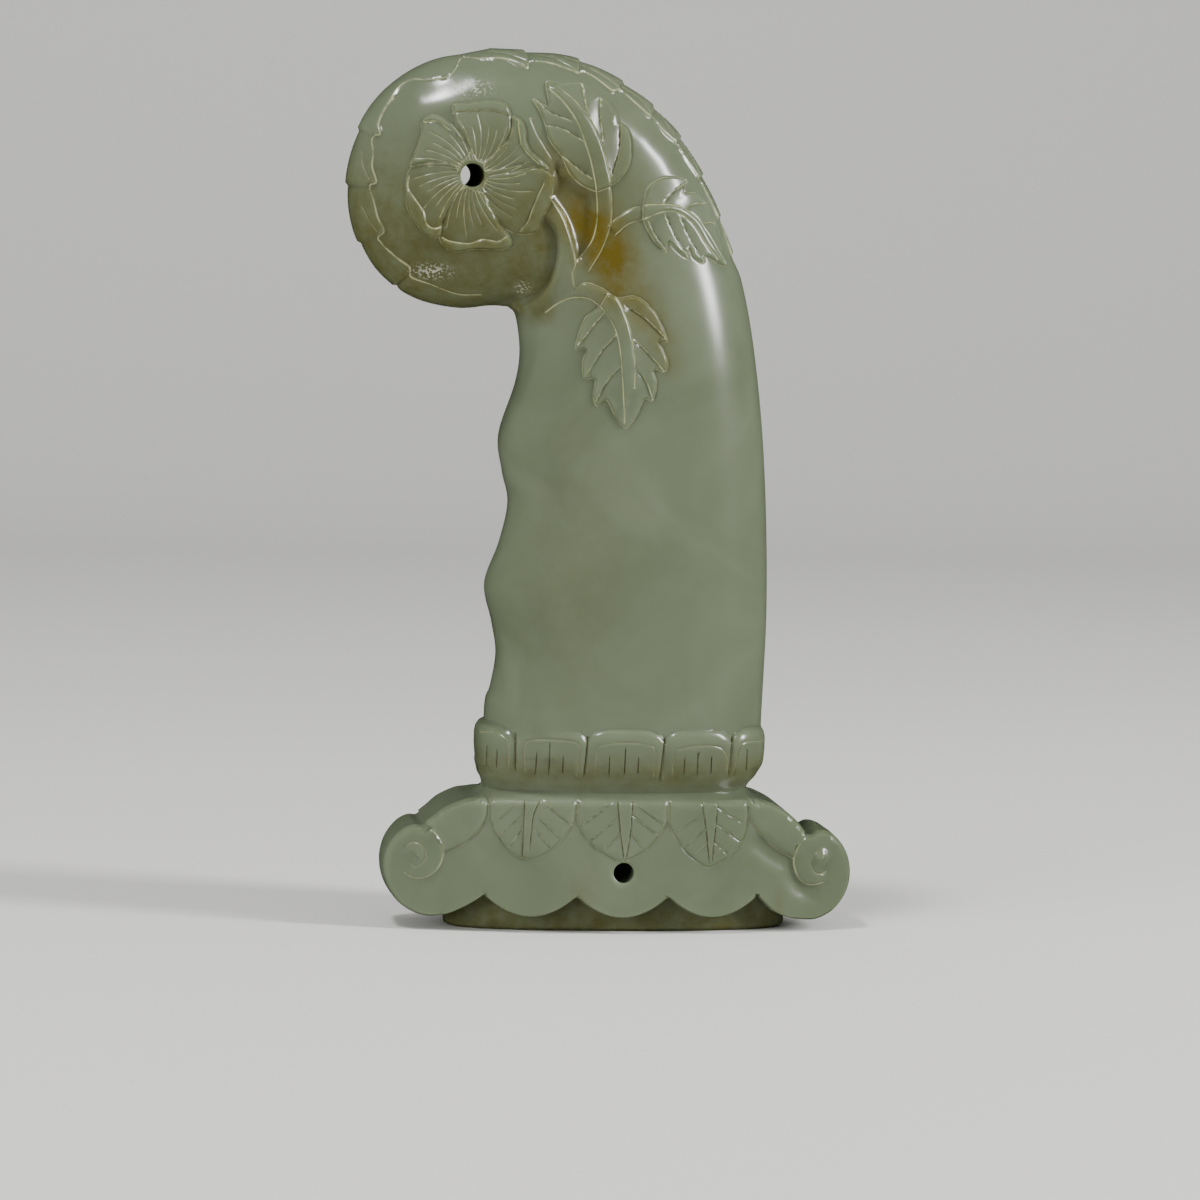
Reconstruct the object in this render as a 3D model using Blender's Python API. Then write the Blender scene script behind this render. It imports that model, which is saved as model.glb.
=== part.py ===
"""Jade dagger hilt carved from one stone: ball pommel, grip with finger grooves, collar and quillon block."""
import math

import bmesh
import bpy
import numpy as np
from mathutils import Matrix

MM = 0.001

# Driving sizes in millimetres
HILT_HEIGHT = 124.3
GRIP_HALF_DEPTH = 11.6
POMMEL_SET_IN = 1.0
BLOCK_SET_IN = 0.6
NECK_SET_IN = 2.3
FOOT_SET_IN = 3.8
LEAF_RISE = 0.85
FLOWER_RISE = 1.0
BLOCK_RISE = 0.6
HOLE_RADIUS = 1.65
RIVET_RADIUS = 1.45
SLOT_LENGTH = 22.0
SLOT_WIDTH = 5.0
SLOT_DEPTH = 44.0
FOOT_EDGE = 0.7

POMMEL_HALF_DEPTH = GRIP_HALF_DEPTH - POMMEL_SET_IN
BLOCK_HALF_DEPTH = GRIP_HALF_DEPTH - BLOCK_SET_IN
NECK_HALF_DEPTH = GRIP_HALF_DEPTH - NECK_SET_IN
FOOT_HALF_WIDTH = GRIP_HALF_DEPTH - FOOT_SET_IN
CUT_THROUGH = 2 * GRIP_HALF_DEPTH

# All that follows is seen from the front, in hundredths of the hilt's height from the middle of its foot
SHARE = HILT_HEIGHT * MM / 100
BACK_LINE = ((16.41, 12.87), (16.57, 24.14), (16.89, 36.6), (16.49, 49.07), (15.61, 59.86),
             (14.08, 70.07), (12.07, 77.55), (8.85, 85.52), (4.83, 91.71), (-0.8, 96.46), (-7.24, 99.28),
             (-16.09, 100))
POMMEL_LINE = ((-16.09, 100), (-22.69, 98.63), (-27.67, 95.41), (-30.89, 90.83), (-32.26, 84.79),
               (-31.46, 79.32), (-28.8, 74.74), (-24.46, 71.6), (-19.47, 70.47), (-15.61, 70.8),
               (-13.6, 70.72))
FINGER_LINE = ((-13.6, 70.72), (-12.63, 69.67), (-12.07, 65.65), (-12.55, 61.95), (-14.32, 56.15),
               (-13.84, 51.97), (-13.11, 48.43), (-14, 43.93), (-15.61, 39.1), (-14.72, 34.75),
               (-14.16, 31.13), (-14.72, 27.35), (-15.37, 24.54), (-15.29, 12.87))
ROUND_FINGER_SIDE = 7.64
ROUND_BACK_SIDE = 12.07
ROUND_START_X = -13.68
ROUND_SPAN_X = 28.96
HEAD_START = 62.75
HEAD_SPAN = 19.31
GRIP_LOW_END = 21.4
HOLE_CENTRE = (-18.66, 85.52)
RIVET_CENTRE = (0, 7.08)

# Collar rings: height, half width, and half depth beyond the grip's
COLLAR_RINGS = ((14.48, 15.12, -2), (16.25, 15.12, -2), (17.46, 15.93, -0.8), (18.83, 16.49, 0.1),
                (20.6, 16.65, 0.55), (22.2, 16.65, 0.7), (23.09, 16.33, 0.5), (23.65, 15.69, -0.4),
                (23.97, 14.8, -1.6))
COLLAR_MIDDLE = 0.24
COLLAR_NOTCHES = (-12.47, -4.59, 4.26, 12.23)
COLLAR_NOTCH_DEPTH = 0.3
COLLAR_PLAIN_RINGS = 3

BLOCK_HALF_WIDTH = 27.03
BLOCK_SHOULDER = ((0, 16.41), (15.21, 16.41), (15.77, 15.69), (16.57, 15.33), (17.7, 14.88), (19.31, 14.16),
                  (20.6, 13.19), (21.88, 11.91), (22.69, 11.75), (23.65, 11.79), (24.86, 11.22),
                  (26.07, 9.94), (26.79, 8.41), (BLOCK_HALF_WIDTH, 6.76))
BLOCK_UNDERSIDE = ((15.69, 3.94), (16.49, 3.26), (17.7, 2.37), (19.31, 1.61), (21.08, 1.25), (22.85, 1.33),
                   (24.7, 2.17), (26.03, 3.58), (26.79, 5.15), (BLOCK_HALF_WIDTH, 6.76))
BLOCK_BOW = 5.9
BLOCK_EDGE_ROUND = 0.5
BLOCK_SLOPE_START = 14.76
NECK_HALF_WIDTH = 15.2
LAPPET_HALF_WIDTH = 5.23
LAPPET_BOTTOM = 1.53
LAPPET_RISE = 2.41
FOOT_HALF_LENGTH = 19.71
FOOT_HEIGHT = LAPPET_BOTTOM + LAPPET_RISE + 0.9

LEAF_CROWN = ((-4.51, 84.07), (-6.44, 85.28), (-8.53, 87.61), (-9.49, 89.3), (-11.1, 90.91),
              (-11.67, 94.05), (-10.46, 96.06), (-7.72, 95.66), (-6.19, 96.06), (-3.94, 94.45),
              (-2.9, 92.2), (-1.61, 91.31), (-0.8, 87.61), (-1.77, 85.76), (-3.14, 83.83))
LEAF_BACK = ((0.08, 82.54), (1.29, 84.71), (2.65, 85.6), (4.51, 84.79), (5.87, 85.44), (8.13, 83.11),
             (8.77, 81.26), (9.98, 79.49), (10.62, 76.11), (7.8, 76.43), (6.92, 77.55), (5.39, 76.83),
             (3.62, 77.55), (2.9, 79.16), (1.45, 79.97), (0.48, 81.17))
LEAF_GRIP = ((-3.3, 71.92), (-0.88, 72.41), (1.21, 71.76), (2.65, 70.23), (3.62, 67.98), (2.41, 67.26),
             (3.54, 65.16), (3.3, 64.04), (2.09, 64.04), (2.49, 62.35), (2.09, 60.58), (1.05, 60.9),
             (0.48, 59.05), (-1.05, 57.44), (-2.41, 59.05), (-2.98, 60.5), (-4.34, 59.86),
             (-4.67, 62.67), (-5.79, 62.99), (-5.95, 65.49), (-5.47, 66.21), (-6.76, 66.37),
             (-6.36, 68.22), (-5.31, 70.31))
STEM_LINE = ((-4.02, 83.83), (-4.18, 80.93), (-4.83, 78.36), (-6.11, 76.11), (-7.08, 73.85),
             (-5.4, 72.6), (-3.1, 70.6))
STEM_HALF_WIDTH = 1.05
BRANCH_LINE = ((-4.99, 78.04), (-3.38, 80.37), (-1.29, 81.74), (0.48, 82.06))
BRANCH_HALF_WIDTH = 0.72

PETAL_COUNT = 6
PETAL_INNER = 2.17
PETAL_OUTER = 8.53
PETAL_GAP = 0.2
PETAL_SWIRL = math.radians(26)

BLOCK_LEAF = ((0, 15.2), (3.3, 14.48), (4.99, 12.55), (3.7, 10.62), (2.09, 9.33), (0, 8.4),
              (-2.09, 9.33), (-3.7, 10.62), (-4.99, 12.55), (-3.3, 14.48))
BLOCK_LEAF_PITCH = 10.22
CORNER_LEAF = ((14.96, 14.7), (16.57, 14.48), (18.34, 13.4), (19.6, 12.4), (20.4, 11.1), (19.6, 9.5),
               (17.7, 9.73), (16.25, 10.78), (15.29, 12.55))
SCROLL_CENTRE = (22.85, 7.64)
SCROLL_RADIUS = 2.98
SCROLL_LINE_WIDTH = 0.8
SCROLL_EYE_RADIUS = 1.29


def spline(points, per_span):
    """Smooth line through the points, both ends kept."""
    p = np.array(points, float)
    p = np.vstack([2 * p[0] - p[1], p, 2 * p[-1] - p[-2]])
    out = []
    for i in range(1, len(p) - 2):
        for k in range(per_span):
            t = k / per_span
            a = 2 * p[i]
            b = p[i + 1] - p[i - 1]
            c = 2 * p[i - 1] - 5 * p[i] + 4 * p[i + 1] - p[i + 2]
            d = 3 * p[i] - p[i - 1] - 3 * p[i + 1] + p[i + 2]
            out.append(0.5 * (a + b * t + c * t * t + d * t ** 3))
    out.append(p[-2])
    return np.array(out)


def distance_to_line(points, line):
    """Shortest distance from each point to an open line."""
    a = line[:-1]
    ab = line[1:] - a
    ap = points[:, None, :] - a[None]
    t = np.clip((ap * ab).sum(2) / (ab * ab).sum(1), 0, 1)
    return np.sqrt(((ap - t[..., None] * ab) ** 2).sum(2)).min(1)


def smooth_step(v):
    """Ease from 0 to 1."""
    v = np.clip(v, 0, 1)
    return v * v * (3 - 2 * v)


def rounded(d, width, power):
    """Height share of a rounded edge at distance d inside the side line."""
    return (1 - (1 - np.clip(d / width, 0, 1)) ** power) ** (1 / power)


def oval(u):
    """Half depth share of a full oval at place u from its middle, 1 at its end."""
    return (1 - np.clip(np.abs(u), 0, 1) ** 2.8) ** (1 / 2.8)


def in_shares(size):
    """A size in millimetres as hundredths of the hilt's height."""
    return size * MM / SHARE


FINE_BACK = spline(BACK_LINE, 8)
FINE_POMMEL = spline(POMMEL_LINE, 8)
FINE_FINGER = spline(FINGER_LINE, 8)
SIDE_LINE = np.vstack([FINE_FINGER[::-1][:-1], FINE_POMMEL[::-1][:-1], FINE_BACK[::-1]])


def grip_half_depth(points):
    """Half depth of grip and pommel at points of the front view."""
    x, z = points[:, 0], points[:, 1]
    d = distance_to_line(points, SIDE_LINE)
    across = smooth_step((x - ROUND_START_X) / ROUND_SPAN_X)
    head = smooth_step((z - HEAD_START) / HEAD_SPAN)
    width = ROUND_FINGER_SIDE + (ROUND_BACK_SIDE - ROUND_FINGER_SIDE) * np.maximum(across, head)
    depth = GRIP_HALF_DEPTH + (POMMEL_HALF_DEPTH - GRIP_HALF_DEPTH) * head
    return depth * rounded(d, width, 2.1)


def new_object(name, verts, faces, collection):
    """Mesh object from front-view shares with a depth in millimetres, normals turned outward."""
    mesh = bpy.data.meshes.new(name)
    mesh.from_pydata([(x * SHARE, y * MM, z * SHARE) for x, y, z in verts], [], faces)
    bm = bmesh.new()
    bm.from_mesh(mesh)
    bmesh.ops.remove_doubles(bm, verts=bm.verts, dist=1e-7)
    bmesh.ops.recalc_face_normals(bm, faces=bm.faces)
    bm.to_mesh(mesh)
    bm.free()
    obj = bpy.data.objects.new(name, mesh)
    collection.objects.link(obj)
    return obj


def grip_body(name, rise, collection):
    """Grip and pommel as two sheets that meet on the side line; rise lifts both sheets for the relief."""
    shares = 0.5 - 0.5 * np.cos(np.linspace(0, math.pi, 11))
    throat = FINGER_LINE[0][1]
    heights = np.concatenate([np.linspace(GRIP_LOW_END, FINGER_LINE[1][1], 18), [throat]])
    left = np.interp(heights, FINE_FINGER[::-1, 1], FINE_FINGER[::-1, 0])
    right = np.interp(heights, FINE_BACK[:, 1], FINE_BACK[:, 0])
    rows = [np.column_stack([a + (b - a) * shares, np.full(len(shares), h)])
            for a, b, h in zip(left, right, heights)]
    seam = rows[-1]
    back = spline(BACK_LINE, 3)
    back = back[back[:, 1] > throat + 0.9]
    pommel = spline(POMMEL_LINE, 2)
    loop = np.vstack([seam[:-1], seam[-1:], back, pommel[1:-1]])
    centre = np.array(HOLE_CENTRE)
    hole = in_shares(HOLE_RADIUS)
    reach = loop - centre
    length = np.linalg.norm(reach, axis=1, keepdims=True)
    steps = (0, 0.015, 0.06, 0.14, 0.26, 0.42, 0.64, 1.0)
    rings = [centre + reach / length * (hole + (length - hole) * (1 - s)) for s in steps]
    verts = []
    faces = []

    def add_sheet(grid, closed, sign):
        start = len(verts)
        for i, row in enumerate(grid):
            y = grip_half_depth(row) + rise
            if closed and i == 0:
                y[0] = 0
                y[len(seam) - 1:] = 0
            if not closed:
                y[[0, -1]] = 0
            verts.extend((p[0], sign * v, p[1]) for p, v in zip(row, y))
        n = len(grid[0])
        for i in range(len(grid) - 1):
            for j in range(n if closed else n - 1):
                k = (j + 1) % n
                faces.append((start + i * n + j, start + i * n + k, start + (i + 1) * n + k,
                              start + (i + 1) * n + j))
        return start

    starts = []
    for sign in (-1, 1):
        starts.append((add_sheet(rows, False, sign), add_sheet(rings, True, sign)))
    n = len(loop)
    first = (len(rings) - 1) * n
    for j in range(n):
        k = (j + 1) % n
        faces.append((starts[0][1] + first + j, starts[0][1] + first + k, starts[1][1] + first + k,
                      starts[1][1] + first + j))
    m = len(shares)
    faces.append([starts[0][0] + j for j in range(m)] + [starts[1][0] + j for j in range(m - 2, 0, -1)])
    return new_object(name, verts, faces, collection)


def block_edges(x):
    """Lower and upper side line of the quillon block at x."""
    r = abs(x)
    top = np.interp(r, [p[0] for p in BLOCK_SHOULDER], [p[1] for p in BLOCK_SHOULDER])
    if r < LAPPET_HALF_WIDTH * 3:
        u = ((r + LAPPET_HALF_WIDTH) % (2 * LAPPET_HALF_WIDTH) - LAPPET_HALF_WIDTH) / LAPPET_HALF_WIDTH
        return LAPPET_BOTTOM + LAPPET_RISE * abs(u) ** 2, top
    return np.interp(r, [p[0] for p in BLOCK_UNDERSIDE], [p[1] for p in BLOCK_UNDERSIDE]), top


BLOCK_XS = np.linspace(0, BLOCK_HALF_WIDTH, 135)
BLOCK_SIDE_LINE = np.vstack([[(x, block_edges(x)[1]) for x in BLOCK_XS[BLOCK_XS > NECK_HALF_WIDTH]],
                             [(x, block_edges(x)[0]) for x in BLOCK_XS[-2::-1]]])


def block_half_depth(points):
    """Half depth of the quillon block: a bowed face whose top slopes in to the neck."""
    x, z = np.abs(points).T
    d = distance_to_line(np.abs(points), BLOCK_SIDE_LINE)
    face = BLOCK_HALF_DEPTH - BLOCK_BOW * (x / BLOCK_HALF_WIDTH) ** 2
    neck = NECK_HALF_DEPTH * oval(x / NECK_HALF_WIDTH)
    slope = smooth_step((z - BLOCK_SLOPE_START) / (BLOCK_SHOULDER[0][1] - BLOCK_SLOPE_START))
    return (face - np.maximum(face - neck, 0) * slope) * rounded(d, BLOCK_EDGE_ROUND, 2)


def block_body(name, rise, collection):
    """Quillon block with its lappets and scrolled ends, as two sheets that meet on the side line."""
    half = [LAPPET_HALF_WIDTH * s for s in (0, 0.5, 0.83, 1, 1.17, 1.5, 2, 2.5, 2.83, 3)]
    half += [x for x, z in BLOCK_SHOULDER if x > half[-1]]
    xs = [-x for x in half[:0:-1]] + half
    shares = (0, 0.05, 0.14, 0.86, 0.95, 1)
    grid = []
    for x in xs:
        low, high = block_edges(x)
        grid.append(np.array([(x, low + (high - low) * s) for s in shares]))
    verts = []
    faces = []
    n = len(shares)
    for sign in (-1, 1):
        start = len(verts)
        for i, column in enumerate(grid):
            y = block_half_depth(column) + rise
            y[0] = 0
            if abs(xs[i]) > NECK_HALF_WIDTH:
                y[-1] = 0
            if i in (0, len(grid) - 1):
                y[:] = 0
            verts.extend((p[0], sign * v, p[1]) for p, v in zip(column, y))
        for i in range(len(grid) - 1):
            for j in range(n - 1):
                faces.append((start + i * n + j, start + (i + 1) * n + j, start + (i + 1) * n + j + 1,
                              start + i * n + j + 1))
    size = len(grid) * n
    for i in range(len(grid) - 1):
        a = i * n + n - 1
        b = (i + 1) * n + n - 1
        faces.append((a, b, size + b, size + a))
    return new_object(name, verts, faces, collection)


def collar_body(name, collection):
    """Collar as stacked oval rings with a shallow notch between its petals."""
    widest = max(width for z, width, beyond in COLLAR_RINGS)
    notches = [(x - COLLAR_MIDDLE) / widest for x in COLLAR_NOTCHES]
    shares = [-1, -0.985, -0.94, -0.86, -0.5, 0, 0.5, 0.86, 0.94, 0.985, 1]
    for notch in notches:
        shares += [notch - 0.035, notch, notch + 0.035]
    shares = sorted(shares)
    rings = []
    for i, (z, width, beyond) in enumerate(COLLAR_RINGS):
        cut = COLLAR_NOTCH_DEPTH if COLLAR_PLAIN_RINGS <= i < len(COLLAR_RINGS) - 1 else 0
        front = []
        for u in shares:
            y = (GRIP_HALF_DEPTH + beyond) * oval(u)
            y -= cut if min(abs(u - notch) for notch in notches) < 1e-6 else 0
            front.append((COLLAR_MIDDLE + width * u, -y, z))
        rings.append(front + [(x, -y, z) for x, y, z in front[-2:0:-1]])
    verts = [v for ring in rings for v in ring]
    n = len(rings[0])
    faces = [(i * n + j, i * n + (j + 1) % n, (i + 1) * n + (j + 1) % n, (i + 1) * n + j)
             for i in range(len(rings) - 1) for j in range(n)]
    faces.append(list(range(n)))
    faces.append([(len(rings) - 1) * n + j for j in range(n)])
    return new_object(name, verts, faces, collection)


def prism(name, outlines, half_depth, collection):
    """Closed outlines of the front view, run straight through from front to back."""
    curve = bpy.data.curves.new(name, "CURVE")
    curve.dimensions = "2D"
    curve.fill_mode = "BOTH"
    curve.extrude = half_depth * MM
    for outline in outlines:
        line = curve.splines.new("POLY")
        line.points.add(len(outline) - 1)
        for point, (x, z) in zip(line.points, outline):
            point.co = (x * SHARE, z * SHARE, 0, 1)
        line.use_cyclic_u = True
    flat = bpy.data.objects.new(name, curve)
    collection.objects.link(flat)
    bpy.context.view_layer.update()
    mesh = bpy.data.meshes.new_from_object(flat.evaluated_get(bpy.context.evaluated_depsgraph_get()))
    bpy.data.objects.remove(flat, do_unlink=True)
    mesh.transform(Matrix.Rotation(math.radians(90), 4, "X"))
    bm = bmesh.new()
    bm.from_mesh(mesh)
    bmesh.ops.remove_doubles(bm, verts=bm.verts, dist=1e-6)
    bmesh.ops.recalc_face_normals(bm, faces=bm.faces)
    bm.to_mesh(mesh)
    bm.free()
    obj = bpy.data.objects.new(name, mesh)
    collection.objects.link(obj)
    return obj


def combine(target, tool, operation):
    """Exact Boolean of the tool on the target; the tool is used up."""
    modifier = target.modifiers.new(operation, "BOOLEAN")
    modifier.operation = operation
    modifier.solver = "EXACT"
    modifier.object = tool
    bpy.context.view_layer.update()
    mesh = bpy.data.meshes.new_from_object(target.evaluated_get(bpy.context.evaluated_depsgraph_get()))
    target.modifiers.clear()
    target.data = mesh
    bpy.data.objects.remove(tool, do_unlink=True)


def bar(line, half_width):
    """Closed outline of a bar along an open line."""
    p = spline(line, 2)
    t = np.gradient(p, axis=0)
    t /= np.linalg.norm(t, axis=1, keepdims=True)
    side = np.column_stack([-t[:, 1], t[:, 0]]) * half_width
    return [tuple(v) for v in np.vstack([p + side, (p - side)[::-1]])]


def squared(v):
    """Cosine or sine of an oval's turn, drawn a little square."""
    return math.copysign(abs(v) ** 0.8, v)


def petals():
    """Six swirling petals round the hole, with a narrow gap between neighbours."""
    pitch = 2 * math.pi / PETAL_COUNT
    out = []
    for i in range(PETAL_COUNT):
        start = math.radians(2) + pitch * i
        points = []
        for r in (PETAL_INNER, 0.47 * PETAL_OUTER, 0.735 * PETAL_OUTER):
            points.append((r, start + PETAL_SWIRL * r / PETAL_OUTER + PETAL_GAP / r))
        for share, reach in ((0.12, 0.93), (0.35, 1.04), (0.62, 1.04), (0.86, 0.95)):
            points.append((PETAL_OUTER * reach, start + PETAL_SWIRL + share * pitch))
        for r in (0.735 * PETAL_OUTER, 0.47 * PETAL_OUTER, PETAL_INNER):
            points.append((r, start + pitch + PETAL_SWIRL * r / PETAL_OUTER - PETAL_GAP / r))
        out.append([(HOLE_CENTRE[0] + r * math.cos(a), HOLE_CENTRE[1] + r * math.sin(a)) for r, a in points])
    return out


def circle(centre, radius, count):
    """Closed round outline."""
    return [(centre[0] + radius * math.cos(2 * math.pi * i / count),
             centre[1] + radius * math.sin(2 * math.pi * i / count)) for i in range(count)]


def scroll_turn(side):
    """Open turn of the scroll round its eye, running in from the top."""
    outer = []
    inner = []
    for i in range(9):
        a = math.radians(75 + 33 * i)
        r = SCROLL_RADIUS * (1 - 0.0216 * i)
        for line, reach in ((outer, r + SCROLL_LINE_WIDTH / 2), (inner, r - SCROLL_LINE_WIDTH / 2)):
            x = SCROLL_CENTRE[0] + reach * math.cos(a)
            line.append((side * x, SCROLL_CENTRE[1] + reach * math.sin(a)))
    return outer + inner[::-1]


for item in list(bpy.data.objects):
    bpy.data.objects.remove(item, do_unlink=True)

hilt_parts = bpy.data.collections.new("Jade dagger hilt")
guides = bpy.data.collections.new("Cutters and guides")
bpy.context.scene.collection.children.link(hilt_parts)
bpy.context.scene.collection.children.link(guides)

# Grip and pommel with the raised flower, stem and leaves
hilt = grip_body("jade_hilt", 0.0, hilt_parts)
raised = grip_body("raised leaves", LEAF_RISE, guides)
leaf_outlines = [LEAF_CROWN, LEAF_BACK, LEAF_GRIP]
combine(raised, prism("leaf outlines", leaf_outlines, CUT_THROUGH, guides), "INTERSECT")
stems = grip_body("raised stems", LEAF_RISE * 0.7, guides)
stem_guide = prism("stem outline", [bar(STEM_LINE, STEM_HALF_WIDTH)], CUT_THROUGH, guides)
branch_guide = prism("branch outline", [bar(BRANCH_LINE, BRANCH_HALF_WIDTH)], CUT_THROUGH * 0.95, guides)
combine(stem_guide, branch_guide, "UNION")
combine(stems, stem_guide, "INTERSECT")
flower = grip_body("raised flower", FLOWER_RISE, guides)
combine(flower, prism("petal outlines", petals(), CUT_THROUGH, guides), "INTERSECT")
combine(raised, stems, "UNION")
combine(raised, flower, "UNION")
combine(hilt, raised, "UNION")

# Quillon block with its pendant leaves and scrolls
block = block_body("quillon block", 0.0, guides)
block_relief = block_body("raised block leaves", BLOCK_RISE, guides)
outlines = [[(x * 0.95 + k * BLOCK_LEAF_PITCH, z) for x, z in BLOCK_LEAF] for k in (-1, 0, 1)]
outlines += [[(side * x, z) for x, z in CORNER_LEAF] for side in (-1, 1)]
outlines += [scroll_turn(side) for side in (-1, 1)]
outlines += [circle((side * SCROLL_CENTRE[0], SCROLL_CENTRE[1]), SCROLL_EYE_RADIUS, 10) for side in (-1, 1)]
combine(block_relief, prism("block outlines", outlines, CUT_THROUGH, guides), "INTERSECT")
combine(block, block_relief, "UNION")
combine(hilt, collar_body("collar", guides), "UNION")
combine(hilt, block, "UNION")

# Oval foot under the lappets
FOOT_STEPS = 32
edge = in_shares(FOOT_EDGE)
foot_rings = []
for z, inset in ((0.0, 1), (edge, 0), (FOOT_HEIGHT, 0)):
    turns = [2 * math.pi * (i + 0.5) / FOOT_STEPS for i in range(FOOT_STEPS)]
    foot_rings.append([((FOOT_HALF_LENGTH - edge * inset) * squared(math.cos(a)),
                        (FOOT_HALF_WIDTH - FOOT_EDGE * inset) * squared(math.sin(a)), z) for a in turns])
foot_faces = [(i * FOOT_STEPS + j, i * FOOT_STEPS + (j + 1) % FOOT_STEPS,
               (i + 1) * FOOT_STEPS + (j + 1) % FOOT_STEPS, (i + 1) * FOOT_STEPS + j)
              for i in range(2) for j in range(FOOT_STEPS)]
foot_faces += [list(range(FOOT_STEPS)), list(range(2 * FOOT_STEPS, 3 * FOOT_STEPS))]
foot = new_object("foot", [v for ring in foot_rings for v in ring], foot_faces, guides)
combine(hilt, foot, "UNION")

# Slot for the blade's tang and the rivet hole that crosses it
slot_side = in_shares(SLOT_LENGTH) / 2
slot_top = in_shares(SLOT_DEPTH)
slot_low = -in_shares(SLOT_WIDTH)
slot = prism("tang slot", [((-slot_side, slot_low), (slot_side, slot_low), (slot_side, slot_top),
                            (-slot_side, slot_top))], SLOT_WIDTH / 2, guides)
combine(hilt, slot, "DIFFERENCE")
rivet_hole = circle(RIVET_CENTRE, in_shares(RIVET_RADIUS), 16)
combine(hilt, prism("rivet hole", [rivet_hole], CUT_THROUGH, guides), "DIFFERENCE")

# Bring the hilt over the middle of its own outline
xs = [v.co.x for v in hilt.data.vertices]
hilt.data.transform(Matrix.Translation((-(min(xs) + max(xs)) / 2, 0, 0)))
bm = bmesh.new()
bm.from_mesh(hilt.data)
bmesh.ops.remove_doubles(bm, verts=bm.verts, dist=1e-5)
bmesh.ops.dissolve_degenerate(bm, edges=bm.edges, dist=1e-5)
bmesh.ops.triangulate(bm, faces=[f for f in bm.faces if len(f.verts) > 4])
bmesh.ops.recalc_face_normals(bm, faces=bm.faces)
bm.to_mesh(hilt.data)
bm.free()
hilt.data.name = "jade_hilt"
hilt.data.shade_smooth()
hilt.data.set_sharp_from_angle(angle=math.radians(38))

jade = bpy.data.materials.new("Polished grey-green jade")
jade.use_nodes = True
surface = jade.node_tree.nodes["Principled BSDF"]
surface.inputs["Base Color"].default_value = (0.205, 0.232, 0.162, 1)
surface.inputs["Roughness"].default_value = 0.32
surface.inputs["IOR"].default_value = 1.61
hilt.data.materials.clear()
hilt.data.materials.append(jade)
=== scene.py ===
"""Jade dagger hilt on a pale studio floor: the carved stone in full detail over its plain solid."""
import math

import bmesh
import bpy
import numpy as np
from mathutils import Matrix, Vector, kdtree
from mathutils.geometry import delaunay_2d_cdt


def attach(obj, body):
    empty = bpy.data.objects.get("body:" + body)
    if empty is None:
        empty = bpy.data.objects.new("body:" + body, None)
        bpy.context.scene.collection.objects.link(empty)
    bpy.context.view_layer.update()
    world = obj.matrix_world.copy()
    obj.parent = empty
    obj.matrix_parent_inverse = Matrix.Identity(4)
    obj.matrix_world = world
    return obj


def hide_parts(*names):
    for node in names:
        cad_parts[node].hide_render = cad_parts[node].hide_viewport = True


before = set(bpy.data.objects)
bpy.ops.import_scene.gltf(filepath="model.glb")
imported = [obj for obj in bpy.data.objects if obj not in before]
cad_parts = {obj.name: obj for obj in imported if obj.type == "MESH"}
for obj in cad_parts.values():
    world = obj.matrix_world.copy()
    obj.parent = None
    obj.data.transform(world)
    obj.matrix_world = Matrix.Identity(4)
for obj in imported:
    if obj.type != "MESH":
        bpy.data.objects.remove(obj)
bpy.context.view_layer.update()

# The grip and ball pommel
# A flat-oval grip of polished nephrite with three finger grooves, rolled over at the top into a ball.
# Lengths are millimetres seen from the front; the half depth is known at every point of that view,
# so the back mirrors the front.
MM = 0.001
SHIFT_X = 3.25
GRIP_HALF_DEPTH = 11.6
POMMEL_HALF_DEPTH = 10.6
BACK_POINTS = [(20.4, 16), (20.6, 30), (21.0, 45.5), (20.5, 61), (19.4, 74.4), (17.5, 87.1), (15.0, 96.4),
               (11.0, 106.3), (6.0, 114.0), (-1.0, 119.9), (-9.0, 123.4), (-20.0, 124.3)]
POMMEL_POINTS = [(-20.0, 124.3), (-28.2, 122.6), (-34.4, 118.6), (-38.4, 112.9), (-40.1, 105.4), (-39.1, 98.6),
                 (-35.8, 92.9), (-30.4, 89.0), (-24.2, 87.6), (-19.4, 88.0), (-16.9, 87.9)]
FINGER_POINTS = [(-16.9, 87.9), (-15.7, 86.6), (-15.0, 81.6), (-15.6, 77.0), (-17.8, 69.8), (-17.2, 64.6),
                 (-16.3, 60.2), (-17.4, 54.6), (-19.4, 48.6), (-18.3, 43.2), (-17.6, 38.7), (-18.3, 34.0),
                 (-19.1, 30.5), (-19.0, 16)]


def spline(points, step=0.3):
    """Smooth line through the points, resampled about every step millimetres."""
    p = np.array(points, float)
    p = np.vstack([2 * p[0] - p[1], p, 2 * p[-1] - p[-2]])
    out = []
    for i in range(1, len(p) - 2):
        for t in np.linspace(0, 1, 12, endpoint=False):
            out.append(0.5 * (2 * p[i] + (p[i + 1] - p[i - 1]) * t
                              + (2 * p[i - 1] - 5 * p[i] + 4 * p[i + 1] - p[i + 2]) * t * t
                              + (3 * p[i] - p[i - 1] - 3 * p[i + 1] + p[i + 2]) * t ** 3))
    out = np.array(out + [p[-2]])
    run = np.concatenate([[0], np.cumsum(np.linalg.norm(np.diff(out, axis=0), axis=1))])
    s = np.linspace(0, run[-1], max(2, int(round(run[-1] / step)) + 1))
    return np.column_stack([np.interp(s, run, out[:, 0]), np.interp(s, run, out[:, 1])])


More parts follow.
